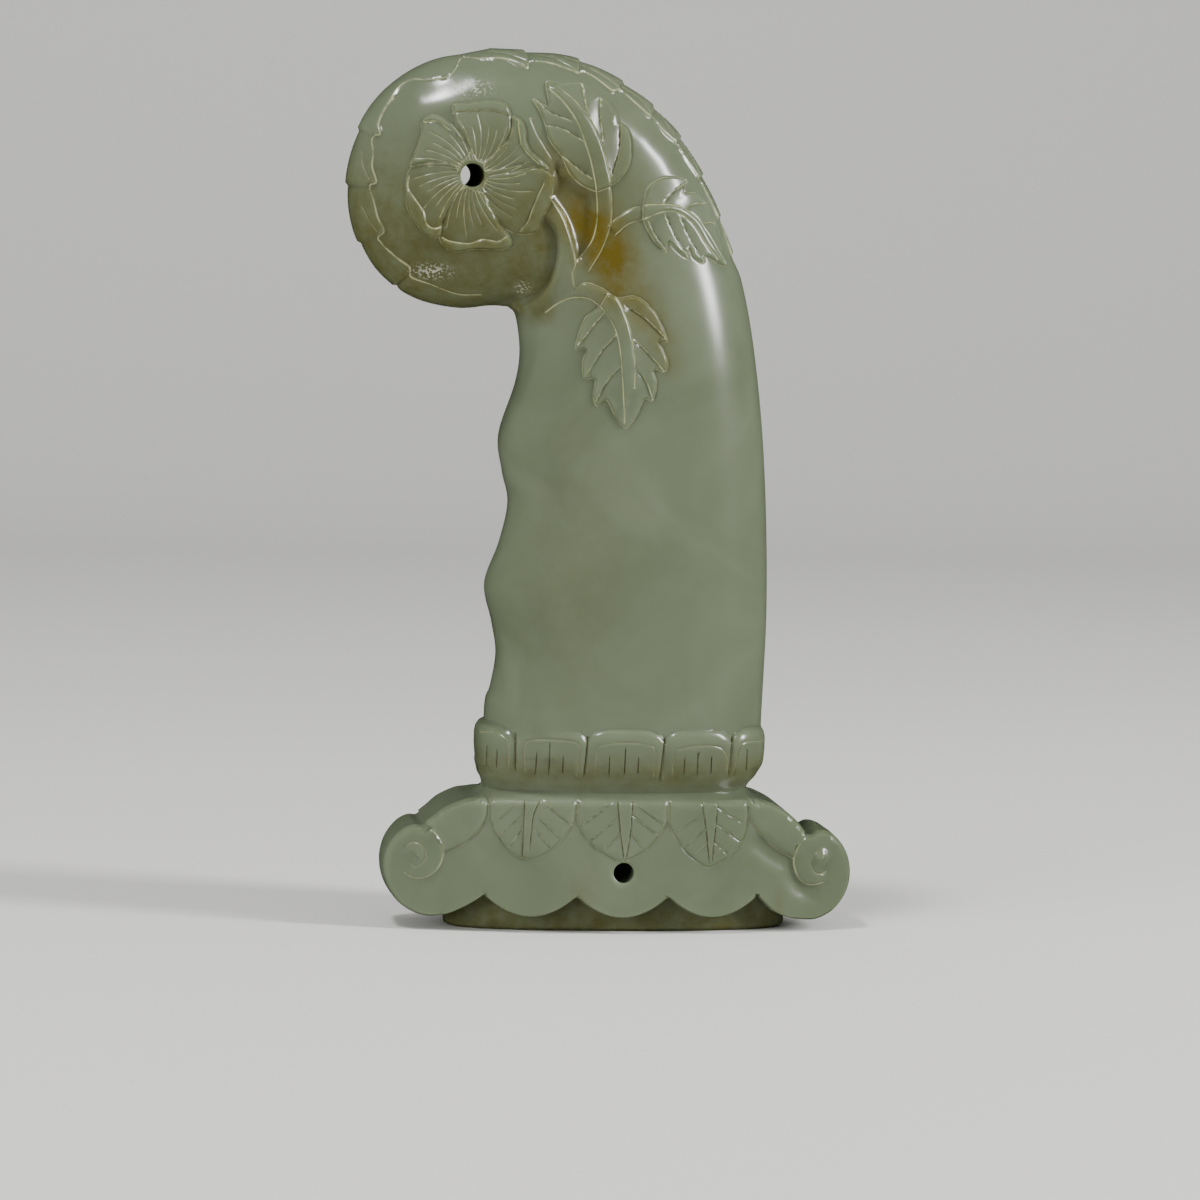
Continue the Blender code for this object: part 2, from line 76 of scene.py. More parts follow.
def near_line(points, line, reach=1e9):
    """Distance to an open line, place along it and side of it, worked out only within reach."""
    away = np.full(len(points), 1e3)
    along = np.zeros(len(points))
    side = np.zeros(len(points))
    low, high = line.min(0) - reach, line.max(0) + reach
    near = np.flatnonzero(((points > low) & (points < high)).all(1))
    a = line[:-1]
    ab = line[1:] - a
    size = np.maximum((ab * ab).sum(1), 1e-12)
    run = np.concatenate([[0], np.cumsum(np.sqrt(size))])
    for start in range(0, len(near), 4000):
        k = near[start:start + 4000]
        ap = points[k][:, None, :] - a[None]
        t = np.clip((ap * ab).sum(2) / size, 0, 1)
        square = ((ap - t[..., None] * ab) ** 2).sum(2)
        j = square.argmin(1)
        row = np.arange(len(k))
        away[k] = np.sqrt(square[row, j])
        along[k] = run[j] + t[row, j] * np.sqrt(size[j])
        side[k] = np.sign(ab[j, 0] * ap[row, j, 1] - ab[j, 1] * ap[row, j, 0])
    return away, along, side


def distance(points, line, reach=1e9):
    """Distance to an open line."""
    return near_line(points, line, reach)[0]


def inside(points, loop):
    """True for points inside a closed loop."""
    hit = np.zeros(len(points), bool)
    near = np.flatnonzero(((points >= loop.min(0)) & (points <= loop.max(0))).all(1))
    x, z = points[near, 0], points[near, 1]
    flip = np.zeros(len(near), bool)
    for (x0, z0), (x1, z1) in zip(loop, np.roll(loop, -1, axis=0)):
        if z0 != z1:
            flip ^= ((z0 > z) != (z1 > z)) & (x < (x1 - x0) * (z - z0) / (z1 - z0) + x0)
    hit[near] = flip
    return hit


def ease(v):
    """Ease from 0 to 1."""
    v = np.clip(v, 0, 1)
    return v * v * (3 - 2 * v)


def rounded(d, width, power):
    """Height share of a rounded edge at distance d inside the side line."""
    return (1 - (1 - np.clip(d / width, 0, 1)) ** power) ** (1 / power)


back_line = spline(BACK_POINTS, 0.5)
pommel_line = spline(POMMEL_POINTS, 0.5)
finger_line = spline(FINGER_POINTS, 0.5)
side_line = np.vstack([finger_line[::-1][:-1], pommel_line[::-1][:-1], back_line[::-1]])


def grip_depth(p):
    """Half depth of grip and pommel."""
    x, z = p[:, 0], p[:, 1]
    d = distance(p, side_line)
    across = ease((x + 17) / 36)
    head = ease((z - 78) / 24)
    depth = GRIP_HALF_DEPTH + (POMMEL_HALF_DEPTH - GRIP_HALF_DEPTH) * head
    depth = depth * rounded(d, 9.5 + 5.5 * np.maximum(across, head), 2.1)
    left = np.interp(z, finger_line[::-1, 1], finger_line[::-1, 0])
    right = np.interp(z, back_line[:, 1], back_line[:, 0])
    return np.where((z < 25) | ((z < 33) & ((x < left) | (x > right))), 0, depth)


# Cut lines and ledges that the surface has to follow closely are gathered as the sections go on: a cut is its line,
# half width, depth, pale (dust and frosted stone, partly painted highlight along the cut) and dark dust
cuts = []
ledges = []
forms = []

# The petalled collar
# A bulging ring of five petals a side, cut from the same stone where the grip meets the block.
# Each petal has an arched inner line and short strokes, darkened by old dirt.
COLLAR_Z = (18.0, 20.2, 20.9, 21.7, 23.4, 25.6, 27.4, 28.3, 28.9, 29.3, 29.6)
COLLAR_HALF_WIDTH = (19.0, 18.9, 19.2, 19.8, 20.5, 20.7, 20.7, 20.5, 20.1, 19.4, 18.0)
COLLAR_HALF_DEPTH = (9.6, 9.6, 9.9, 10.8, 11.7, 12.15, 12.38, 12.36, 12.1, 11.4, 9.5)
PETAL_EDGES = np.array([-25.0, -15.5, -5.7, 5.3, 15.2, 25.0])


def petal_share(x):
    """Place across a collar petal, from -1 to 1."""
    j = np.clip(np.searchsorted(PETAL_EDGES, x) - 1, 0, len(PETAL_EDGES) - 2)
    a, b = PETAL_EDGES[j], PETAL_EDGES[j + 1]
    return 2 * (x - a) / (b - a) - 1


def collar_middle(z):
    """Middle x of the collar."""
    return np.interp(z, (20.0, 24.0), (-0.4, 0.3))


def collar_depth(p):
    """Half depth of the petalled collar."""
    x, z = p[:, 0], p[:, 1]
    share = np.abs(petal_share(x))
    lowered = z + 1.15 * share ** 4 * ease((z - 25) / 3)
    u = np.clip(np.abs(x - collar_middle(z)) / np.interp(lowered, COLLAR_Z, COLLAR_HALF_WIDTH), 0, 1)
    depth = np.interp(lowered, COLLAR_Z, COLLAR_HALF_DEPTH) * (1 - u ** 2.8) ** (1 / 2.8)
    depth = depth - 0.35 * share ** 8 * ease((z - 22) / 2)
    return np.where((z > 18) & (lowered < 29.6), depth, 0)


collar_cuts = [[(-15.6, 28.2), (-15.5, 23.2)], [(-5.6, 28.0), (-5.9, 22.7)], [(5.3, 27.9), (4.9, 22.5)],
               [(15.2, 27.9), (14.9, 23.0)]]
collar_arches = [[(-14.2, 23.1), (-14.3, 26.6), (-13.5, 27.5), (-10.6, 27.7), (-7.6, 27.4), (-6.8, 26.4),
                  (-7.0, 22.6)],
                 [(-4.5, 22.7), (-4.4, 25.9), (-3.7, 27.0), (-0.3, 27.4), (3.1, 27.1), (4.0, 26.0), (3.9, 22.9)],
                 [(6.5, 22.5), (6.7, 25.7), (7.5, 26.6), (10.6, 27.0), (13.3, 26.7), (14.3, 25.6), (14.7, 23.2)],
                 [(-20.0, 27.9), (-18.2, 28.2), (-16.9, 27.5), (-16.5, 26.0), (-16.4, 23.9)],
                 [(20.0, 27.1), (17.4, 27.3), (16.2, 26.5), (15.6, 22.9)]]
collar_strokes = [(-19.3, 23.3, 26.0), (-18.0, 23.3, 25.6), (-12.7, 22.8, 25.5), (-10.9, 22.9, 26.7),
                  (-9.0, 23.3, 25.1), (-2.5, 23.0, 25.2), (-0.3, 23.1, 26.3), (1.6, 23.4, 25.0),
                  (8.2, 22.9, 24.8), (10.1, 23.1, 25.5), (12.1, 23.3, 25.2), (17.5, 23.5, 26.1)]
for line in collar_cuts:
    cuts.append((spline(line), 0.24, 0.35, 0.5, 0.6))
for line in collar_arches:
    cuts.append((spline(line), 0.12, 0.12, 0.5, 0.3))
for x, low, high in collar_strokes:
    cuts.append((spline([(x, low), (x, high)]), 0.12, 0.18, 0.2, 0.9))
petal_x = np.arange(-19.5, 20.4, 0.22)
petal_top = 29.35 - 1.15 * np.abs(petal_share(petal_x)) ** 4
for down in (-0.12, 0.05, 0.2, 0.4, 0.7, 1.1):
    ledges.append(np.column_stack([petal_x, petal_top - down]))

# The block
# A plate with a gently bowed face and crisp edges. Its lower edge hangs in three lappets over an oval
# foot, its ends roll into scrolls, and a rivet for the blade's tang passes through it.
BLOCK_HALF_DEPTH = 11.0
BLOCK_FACE_RADIUS = 98.0
BLOCK_EDGE = 0.55
NECK_HALF_WIDTH = 18.9
NECK_HALF_DEPTH = 9.5
RIVET = (0.0, 8.8)
RIVET_R = 1.45
block_right = np.vstack([
    spline([(19.5, 4.9), (20.4, 4.0), (21.9, 2.7), (23.9, 1.8), (26.1, 1.4), (28.4, 1.4), (30.7, 2.4), (32.3, 4.0),
            (33.3, 6.0), (33.6, 8.2), (33.2, 10.4), (32.2, 12.3), (30.7, 13.8), (29.2, 14.4), (28.0, 14.3),
            (27.0, 13.7)], 0.25),
    spline([(26.7, 13.9), (25.9, 15.0), (24.8, 16.2), (23.2, 17.5), (21.5, 18.4), (20.2, 18.9), (19.4, 19.25),
            (18.85, 19.7), (18.65, 20.3)], 0.25)])
block_left = np.vstack([
    spline([(19.5, 4.9), (20.6, 4.1), (22.1, 3.2), (24.2, 2.2), (26.4, 1.7), (28.5, 1.9), (30.7, 3.0), (32.4, 4.9),
            (33.3, 6.8), (33.6, 8.7), (33.4, 10.5), (32.6, 12.4), (31.1, 14.1), (29.5, 14.9), (28.3, 14.9)], 0.25),
    spline([(28.0, 15.1), (26.6, 16.3), (25.0, 17.6), (22.6, 18.65), (21.0, 19.05), (20.1, 19.4), (19.55, 19.85),
            (19.32, 20.35)], 0.25)])
lappet_x = np.linspace(-19.5, 19.5, 157)[1:-1]
lappet_z = 2.0 + 2.9 * np.abs(((lappet_x + 6.5) % 13 - 6.5) / 6.5) ** 2.0
lappets = np.column_stack([lappet_x, lappet_z])
block_line = np.vstack([block_right[::-1], lappets[::-1], block_left * (-1, 1)])


def face_depth(x):
    """Half depth of the block's bowed face."""
    return BLOCK_HALF_DEPTH - BLOCK_FACE_RADIUS + np.sqrt(BLOCK_FACE_RADIUS ** 2 - np.minimum(x * x, 1600))


def block_depth(p):
    """Half depth of the block, whose top slopes in to the neck."""
    x, z = p[:, 0], p[:, 1]
    face = face_depth(x)
    neck = NECK_HALF_DEPTH * (1 - np.clip(np.abs(x + 0.35) / NECK_HALF_WIDTH, 0, 1) ** 2.8) ** (1 / 2.8)
    depth = face - np.maximum(face - neck, 0) * np.clip((z - 18.35) / 1.65, 0, 1) ** 1.5
    return np.where(inside(p, block_line), depth * rounded(distance(p, block_line, 2), BLOCK_EDGE, 2), 0)


def foot_depth(p):
    """Half depth of the oval foot."""
    inset = 0.7 * np.clip(1 - p[:, 1] / 0.7, 0, 1) ** 2
    u = np.clip(np.abs(p[:, 0]) / (24.5 - inset), 0, 1)
    return np.where(p[:, 1] < 8, (7.8 - inset) * (1 - u ** 2.5) ** 0.4, 0)


def stone_depth(p):
    """Half depth of the whole hilt."""
    return np.maximum(np.maximum(grip_depth(p), collar_depth(p)), np.maximum(block_depth(p), foot_depth(p)))


def shifted(line, d):
    """The line moved sideways, to its left for a positive d."""
    t = np.gradient(line, axis=0)
    t /= np.maximum(np.linalg.norm(t, axis=1, keepdims=True), 1e-9)
    return line + np.column_stack([-t[:, 1], t[:, 0]]) * d


left_arc = (block_left[:np.argmax(block_left[:, 0] > 24.9)] * (-1, 1))[::-1]
right_arc = block_right[:np.argmax(block_right[:, 0] > 24.9)]
for d in (-0.2, -0.05, 0.1, 0.165, 0.23, 0.33, 0.45, 0.6, 0.85):
    ledges += [shifted(lappets, d), shifted(left_arc, d), shifted(right_arc, d)]
edge_x = np.arange(-18.6, 18.2, 0.25)
for z in (18.45, 18.75, 19.0, 19.35, 19.7, 20.0, 20.3, 20.6):
    ledges.append(np.column_stack([edge_x, np.full(len(edge_x), z)]))

# The leaves and scrolls of the block
# Three pendant leaves with twin midribs, a plain leaf at each shoulder and a scroll at each end. The
# right shoulder also has a furrow that runs into the scroll.
block_leaves = [
    [(-18.9, 18.6), (-18.7, 15.9), (-17.8, 13.8), (-16.1, 11.7), (-14.1, 10.7), (-12.0, 10.9), (-9.7, 12.6),
     (-7.4, 15.4), (-6.95, 17.3), (-6.9, 18.6)],
    [(-6.7, 18.6), (-6.6, 15.9), (-5.0, 13.1), (-2.7, 11.5), (-0.3, 10.5), (2.5, 11.7), (4.8, 14.1), (6.0, 16.0),
     (6.05, 18.6)],
    [(6.25, 18.6), (6.4, 15.5), (8.4, 12.2), (10.9, 10.1), (12.4, 9.6), (14.8, 10.9), (16.8, 13.0), (17.6, 15.9),
     (17.6, 18.5)],
]
block_ribs = [[(-14.1, 18.6), (-14.3, 10.9)], [(-12.1, 18.7), (-12.9, 16.7), (-13.3, 12.3)],
              [(-1.1, 18.8), (-0.6, 14.6), (-0.1, 11.2)], [(1.0, 18.8), (0.8, 14.6), (0.3, 11.2)],
              [(11.0, 18.7), (11.7, 14.5), (12.1, 10.9)], [(13.2, 18.6), (12.9, 14.5), (12.6, 11.0)]]
block_veins = [[(-15.4, 18.3), (-18.4, 15.5)], [(-14.6, 16.7), (-17.7, 13.8)], [(-14.5, 14.8), (-16.1, 12.3)],
               [(-11.5, 18.7), (-7.5, 15.6)], [(-12.3, 16.7), (-9.1, 13.7)], [(-12.6, 14.9), (-10.5, 12.4)],
               [(-1.9, 18.7), (-6.2, 15.5)], [(-1.3, 16.4), (-5.0, 13.3)], [(-0.7, 14.6), (-2.7, 12.3)],
               [(1.2, 18.7), (5.6, 15.6)], [(1.1, 16.9), (4.7, 14.2)], [(0.8, 14.6), (2.5, 12.4)],
               [(10.9, 17.1), (7.2, 14.7)], [(11.5, 15.0), (8.5, 12.5)], [(11.9, 13.1), (10.1, 11.6)],
               [(13.3, 18.0), (17.2, 15.7)], [(13.1, 15.7), (16.7, 13.2)], [(12.9, 13.1), (14.4, 11.8)]]
shoulder_leaves = [
    ([(-19.2, 18.6), (-19.4, 16.3), (-20.6, 14.2), (-22.5, 12.5), (-25.1, 11.1)],
     [(-25.4, 12.4), (-27.0, 14.7), (-29.5, 17.0), (-24.0, 21.0), (-19.2, 20.5)]),
    ([(17.8, 18.6), (17.9, 17.2), (18.3, 15.8), (19.3, 14.4), (21.0, 12.8), (22.8, 11.5), (24.6, 10.6)],
     [(24.8, 12.0), (26.2, 13.9), (28.5, 16.0), (23.0, 21.0), (17.8, 20.5)]),
]
LEFT_EYE = (-29.1, 10.9)
RIGHT_EYE = (28.8, 10.4)
rings = [[(-27.1, 14.5), (-25.9, 13.4), (-25.3, 11.8), (-25.4, 10.2), (-26.0, 8.9), (-27.1, 7.9), (-28.5, 7.4),
          (-29.8, 7.6), (-30.6, 8.1)],
         [(26.0, 13.4), (25.1, 12.1), (24.7, 10.5), (25.0, 8.9), (25.6, 7.7), (26.6, 6.9), (27.8, 6.7), (29.1, 7.0)]]
curls = [[(-30.6, 11.7), (-30.1, 12.2), (-29.3, 12.5), (-28.4, 12.3), (-27.8, 11.5), (-27.7, 10.4), (-28.2, 9.5),
          (-29.1, 9.0), (-29.7, 9.2)],
         [(27.7, 11.2), (27.2, 10.0), (27.6, 8.7), (28.6, 8.2), (29.6, 8.5)]]
furrow = [(17.8, 14.6), (19.3, 12.9), (21.5, 11.2), (24.0, 9.8), (24.6, 8.0), (25.9, 6.3), (27.5, 5.7), (29.0, 5.9)]
for line in block_leaves:
    cuts.append((spline(line), 0.12, 0.1, 0.45, 0))
for line in block_ribs:
    cuts.append((spline(line), 0.13, 0.18, 0.5, 0.75))
for line in block_veins:
    cuts.append((spline(line), 0.11, 0.12, 0.5, 0.15))
for line, rest in shoulder_leaves:
    cuts.append((spline(line), 0.13, 0.14, 0.5, 0))
for line in rings + curls:
    cuts.append((spline(line, 0.25), 0.15, 0.18, 0.6, 0))


def scoop(p, line, tip, depth, width):
    """Hollow that falls away from a cut on the side of the leaf's tip."""
    away, along, side = near_line(p, line, width * 4)
    tip_side = near_line(np.array([tip], float), line)[2][0]
    return -depth * ease(along / 0.8) * np.exp(-away / width) * (side == tip_side) * (away < width * 4)


def block_form(p, height):
    """Relief of the block's leaves and scrolls."""
    top_fade = 1 - ease((p[:, 1] - 18.4) / 1.2)
    for line in block_leaves:
        loop = spline(line)
        hit = inside(p, np.vstack([loop, [(line[-1][0], 20.5), (line[0][0], 20.5)]]))
        d = np.where(hit, distance(p, loop, 3), 0)
        height += (0.27 * ease(d / 0.3) - 0.08 * ease((d - 0.5) / 2.5)) * top_fade
        ribs = [spline(rib) for rib in block_ribs if line[0][0] < rib[0][0] < line[-1][0]]
        for vein in block_veins:
            if line[0][0] < vein[0][0] < line[-1][0]:
                height += hit * scoop(p, spline(vein), (0.5 * (line[0][0] + line[-1][0]), 9.0), 0.16, 0.6)
        height += hit * 0.12 * inside(p, np.vstack([ribs[0], ribs[1][::-1]]))
    for line, rest in shoulder_leaves:
        loop = spline(line)
        d = np.where(inside(p, np.vstack([loop, rest])), distance(p, loop, 3), 0)
        height += 0.34 * ease(d / 0.35) * top_fade
    for sign, eye, ring, lift in ((-1, LEFT_EYE, rings[0], 0.18), (1, RIGHT_EYE, rings[1], 0.55)):
        dx, dz = (p[:, 0] - eye[0]) * -sign, p[:, 1] - eye[1]
        r = np.hypot(dx, dz)
        turn = (60 - np.degrees(np.arctan2(dz, dx))) % 360
        line = spline(ring, 0.25)
        lx, lz = (line[:, 0] - eye[0]) * -sign, line[:, 1] - eye[1]
        ring_turn = (60 - np.degrees(np.arctan2(lz, lx)) + 20) % 360 - 20
        edge = np.interp(turn, ring_turn, np.hypot(lx, lz))
        rise = np.where(turn < 177, 0.42 * (1 - ease((turn - 110) / 67)), 0.42 * (turn - 177) / 183)
        past = 1 - ease((turn - 335) / 25) * ease((r - edge) / 0.3)
        height += rise * np.where(turn < 177, 1 - ease((r - edge) / 0.22), past) * (r < 7)
        height += lift * (1 - ease((r - 0.6) / 0.9))
    d, along, side = near_line(p, spline(furrow), 4)
    height -= 0.5 * np.exp(-(d / 1.3) ** 2) * ease(along / 3) * (1 - ease((along - 13) / 3))
    return height


forms.append(block_form)

# The flower
# Six overlapping petals carved round the thong hole like a pinwheel. Each has a rolled rim and fine veins
# that swirl out from the hole.
HOLE = (-23.2, 106.3)
HOLE_R = 1.65
petals = [
    ([(-24.9, 106.6), (-25.7, 107.5), (-27.4, 107.8), (-29.7, 107.6), (-31.8, 107.1), (-32.4, 104.9),
      (-32.2, 101.9), (-31.0, 99.6), (-29.2, 97.8), (-27.6, 97.7), (-27.1, 100.1), (-25.8, 103.2),
      (-24.4, 104.7)],
     [(-31.9, 105.9), (-32.0, 104.4), (-30.9, 102.7), (-29.8, 101.2), (-29.3, 99.5), (-28.5, 98.9),
      (-27.6, 99.1)], 0),
    ([(-24.3, 104.6), (-25.8, 103.1), (-27.1, 100.1), (-27.6, 97.6), (-26.9, 96.3), (-25.4, 95.6),
      (-22.6, 96.0), (-19.6, 96.0), (-17.9, 96.4), (-17.5, 97.4), (-18.9, 99.3), (-20.6, 101.8),
      (-21.6, 103.7), (-23.0, 104.2)],
     [(-27.2, 97.6), (-26.0, 97.1), (-23.4, 96.9), (-21.7, 97.5), (-19.6, 97.3), (-18.4, 97.9)], 0),
    ([(-26.1, 115.5), (-25.9, 116.1), (-23.7, 116.3), (-21.0, 116.7), (-19.1, 116.5), (-18.1, 115.5),
      (-17.8, 113.6), (-18.1, 111.7), (-19.8, 109.7), (-21.5, 108.2), (-22.7, 108.5), (-23.4, 110.0),
      (-24.3, 111.7), (-25.6, 113.2)],
     [(-26.1, 114.8), (-23.7, 115.0), (-20.6, 115.2), (-18.8, 114.8)], 0.7),
    ([(-25.8, 113.2), (-27.5, 114.2), (-28.6, 114.6), (-29.7, 114.3), (-30.4, 113.5), (-30.3, 112.2),
      (-31.0, 109.9), (-31.9, 107.5), (-29.7, 107.8), (-27.4, 108.0), (-25.7, 107.5), (-24.7, 108.1),
      (-23.5, 109.7), (-24.3, 111.7)],
     [(-29.6, 113.4), (-28.6, 113.6), (-27.6, 113.2), (-26.4, 112.4)], 0),
    ([(-21.5, 106.9), (-18.6, 107.3), (-15.6, 107.9), (-12.5, 107.2), (-13.5, 108.5), (-15.1, 109.8),
      (-15.7, 111.2), (-15.8, 112.7), (-16.4, 114.0), (-17.7, 114.6), (-17.8, 113.4), (-18.3, 111.5),
      (-19.8, 109.7), (-21.5, 108.1)],
     [(-17.0, 113.4), (-16.8, 111.9), (-16.4, 110.4), (-15.2, 109.0), (-14.0, 108.0)], 0),
    ([(-21.6, 103.7), (-20.6, 101.8), (-18.9, 99.4), (-17.3, 98.4), (-15.6, 98.2), (-14.1, 98.7),
      (-13.5, 100.4), (-12.4, 102.3), (-11.9, 105.4), (-12.5, 107.0), (-14.4, 107.6), (-17.5, 106.9),
      (-20.5, 106.3), (-21.5, 105.2)],
     [(-16.2, 99.1), (-15.4, 100.0), (-14.9, 101.5), (-14.0, 103.8), (-13.3, 105.3)], 0),
]


def closed(points):
    """Closed outline with a fine step."""
    return spline(list(points) + [points[0]])


for outer, fold, dark in petals:
    cuts.append((closed(outer), 0.11, 0.08, 0.5, 0))
    cuts.append((spline(fold), 0.13, 0.14, 0.95, dark))
for i in range(36):
    turn = math.radians(10 * i + 4)
    reach = 7.2 + 1.1 * math.sin(2.4 * i)
    vein = [(HOLE[0] + r * math.cos(turn + math.radians(2.6) * r), HOLE[1] + r * math.sin(
        turn + math.radians(2.6) * r)) for r in np.linspace(2.1, reach, 5)]
    cuts.append((spline(vein), 0.1, 0.08, 0.6, 0.6 if i in (8, 25, 26, 29, 30) else 0))


def flower_form(p, height):
    """Relief of the flower."""
    x, z = p[:, 0] - HOLE[0], p[:, 1] - HOLE[1]
    r = np.hypot(x, z)
    height = height + 0.22 * (1 - ease((r - 6.6) / 0.8))
    for outer, fold, dark in petals:
        loop = closed(outer)
        hit = inside(p, loop)
        d = distance(p, loop, 3)
        mid = np.mean(np.array(outer), axis=0) - HOLE
        turn = np.arctan2(z, x) - math.atan2(mid[1], mid[0])
        turn = (turn + math.pi) % (2 * math.pi) - math.pi
        level = 0.45 + 0.22 * np.clip(turn / 0.5, -1, 1) - 0.35 * (1 - np.clip(r / 6.5, 0, 1) ** 2)
        away, along, side = near_line(p, spline(fold), 3)
        hole_side = near_line(np.array([HOLE]), spline(fold))[2][0]
        rim_side = (side != hole_side) & (away < 2.2)
        level = level + np.where(rim_side, 0.16 * ease(away / 0.25), -0.14 * np.exp(-away / 0.8))
        level = level * np.where(r > 6.5, ease(d / 0.45 + 0.25), 1)
        height = np.where(hit, height + (level - height) * ease(d / 0.22), height)
    return height


forms.append(flower_form)

# The ball, the branch and the leaves
# The ball dips to a crease where the flower's branch rises out of it. The branch forks into three
# toothed leaves with twin midribs, each lobe lapped over the next like a shingle.
ball_fold = [(-13.6, 101.2), (-12.6, 100.2), (-11.6, 98.8), (-11.15, 97.1), (-11.2, 95.1), (-11.6, 93.2),
             (-12.4, 91.4), (-13.6, 89.8), (-15.2, 88.7), (-16.9, 88.1)]
stem_edge = [(-12.4, 103.5), (-10.5, 100.8), (-9.2, 97.4), (-8.6, 94.4), (-9.0, 92.9), (-8.6, 90.8)]
tendril = [(-15.1, 114.0), (-14.1, 111.8), (-12.4, 109.1)]
leaves = [
    ([(-5.8, 104.3), (-7.9, 105.2), (-9.6, 106.7), (-10.8, 109.0), (-12.6, 111.4), (-13.2, 113.5), (-13.9, 115.2),
      (-14.8, 117.1), (-12.7, 116.2), (-12.9, 119.5), (-10.3, 119.3), (-7.6, 119.6), (-6.3, 118.4), (-5.2, 117.7),
      (-3.9, 116.9), (-2.9, 115.1), (-2.7, 113.9), (-1.7, 113.5), (-1.0, 111.7), (-1.0, 109.0), (-2.1, 106.7),
      (-3.9, 105.1)],
     [[(-12.5, 118.2), (-10.6, 116.5), (-8.7, 113.8), (-7.4, 110.4), (-6.4, 107.0), (-5.7, 102.4), (-6.2, 97.9),
       (-8.6, 94.4)],
      [(-11.3, 118.5), (-8.7, 116.4), (-6.4, 113.4), (-4.9, 109.7), (-3.9, 105.5), (-3.7, 100.6), (-4.8, 96.7),
       (-6.5, 93.7)]],
     [[(-9.5, 114.0), (-12.6, 115.2), (-14.3, 116.7)], [(-7.9, 111.3), (-10.7, 112.9), (-13.0, 113.3)],
      [(-6.7, 106.2), (-9.1, 107.9), (-10.7, 109.1)], [(-7.2, 115.0), (-7.6, 117.2), (-7.9, 119.3)],
      [(-5.1, 111.6), (-5.4, 115.0), (-5.2, 117.5)], [(-3.8, 106.5), (-2.7, 110.1), (-2.6, 113.5)]],
     (-13.5, 121.0), 5),
    ([(0.7, 100.7), (0.7, 102.6), (1.0, 103.9), (1.6, 105.3), (3.3, 106.4), (5.3, 106.6), (7.5, 106.2), (6.8, 104.6),
      (8.9, 104.5), (10.3, 103.3), (12.0, 100.4), (13.0, 97.4), (13.4, 94.4), (11.8, 94.7), (9.9, 95.6), (9.8, 94.6),
      (8.1, 95.4), (7.4, 96.8), (7.4, 95.3), (5.9, 96.1), (4.4, 97.5), (4.3, 96.1), (2.9, 97.1), (1.5, 99.0)],
     [[(-4.1, 99.7), (-2.4, 101.2), (-0.1, 102.4), (3.5, 102.7), (6.1, 102.3), (8.6, 100.7), (10.7, 97.9),
       (12.9, 94.7)],
      [(-2.9, 98.6), (-1.2, 100.0), (0.9, 100.7), (3.5, 101.7), (5.5, 101.6), (7.8, 100.1), (9.6, 97.5),
       (11.6, 95.1)]],
     [[(1.5, 100.3), (2.5, 98.4), (4.2, 96.2)], [(3.9, 101.4), (5.1, 98.8), (7.2, 95.5)],
      [(6.1, 101.0), (7.5, 98.1), (9.6, 94.8)], [(3.5, 102.8), (5.1, 104.5), (7.2, 105.9)],
      [(6.7, 102.1), (8.2, 102.9), (10.1, 103.1)], [(9.2, 100.2), (11.0, 100.4), (12.0, 100.0)]],
     (14.5, 91.5), None),
    ([(-5.1, 88.4), (-4.0, 90.1), (-2.4, 89.7), (-0.3, 90.0), (1.7, 88.8), (3.2, 87.0), (4.5, 83.8), (3.2, 83.8),
      (3.9, 82.6), (4.6, 80.7), (4.1, 79.5), (2.7, 79.7), (3.1, 77.8), (2.6, 75.4), (1.4, 75.6), (0.4, 73.3),
      (-1.3, 71.5), (-2.9, 73.5), (-4.0, 75.4), (-5.3, 74.5), (-5.9, 76.1), (-5.7, 78.3), (-7.2, 78.4), (-7.4, 80.7),
      (-7.0, 82.4), (-8.4, 82.5), (-7.9, 84.9), (-7.0, 87.0)],
     [[(-12.4, 87.4), (-11.0, 88.6), (-9.1, 89.5), (-6.8, 89.5), (-5.1, 88.4), (-3.6, 86.5), (-2.5, 83.8),
       (-1.9, 79.2), (-1.4, 72.4)],
      [(-8.6, 90.8), (-7.3, 91.7), (-5.7, 91.4), (-4.0, 90.5), (-2.6, 89.3), (-1.4, 86.9), (-0.6, 84.2),
       (-0.1, 80.4), (-0.1, 77.4)]],
     [[(-4.5, 87.6), (-6.0, 85.7), (-8.0, 83.0)], [(-2.8, 84.5), (-4.8, 82.2), (-6.7, 79.0)],
      [(-2.1, 80.3), (-3.9, 78.1), (-5.4, 75.2)], [(-1.6, 88.6), (1.3, 86.9), (4.2, 84.1)],
      [(-0.2, 83.9), (1.8, 82.0), (4.0, 79.6)], [(0.1, 80.0), (1.7, 77.8), (2.5, 75.6)]],
     (-1.5, 69.0), None),
]
fold_line = spline(ball_fold)
for d in (-0.8, -0.45, -0.22, -0.08, 0.08, 0.25, 0.5, 0.9):
    ledges.append(shifted(fold_line, d))
cuts.append((spline(stem_edge), 0.14, 0.18, 0.9, 0))
cuts.append((spline(tendril), 0.12, 0.14, 0.9, 0))
for outer, ribs, veins, tip, dark_vein in leaves:
    cuts.append((closed(outer), 0.12, 0.08, 0.65, 0))
    cuts += [(spline(rib), 0.13, 0.14, 0.95, 0) for rib in ribs]
    cuts += [(spline(vein), 0.12, 0.1, 0.75, 0.8 if i == dark_vein else 0) for i, vein in enumerate(veins)]


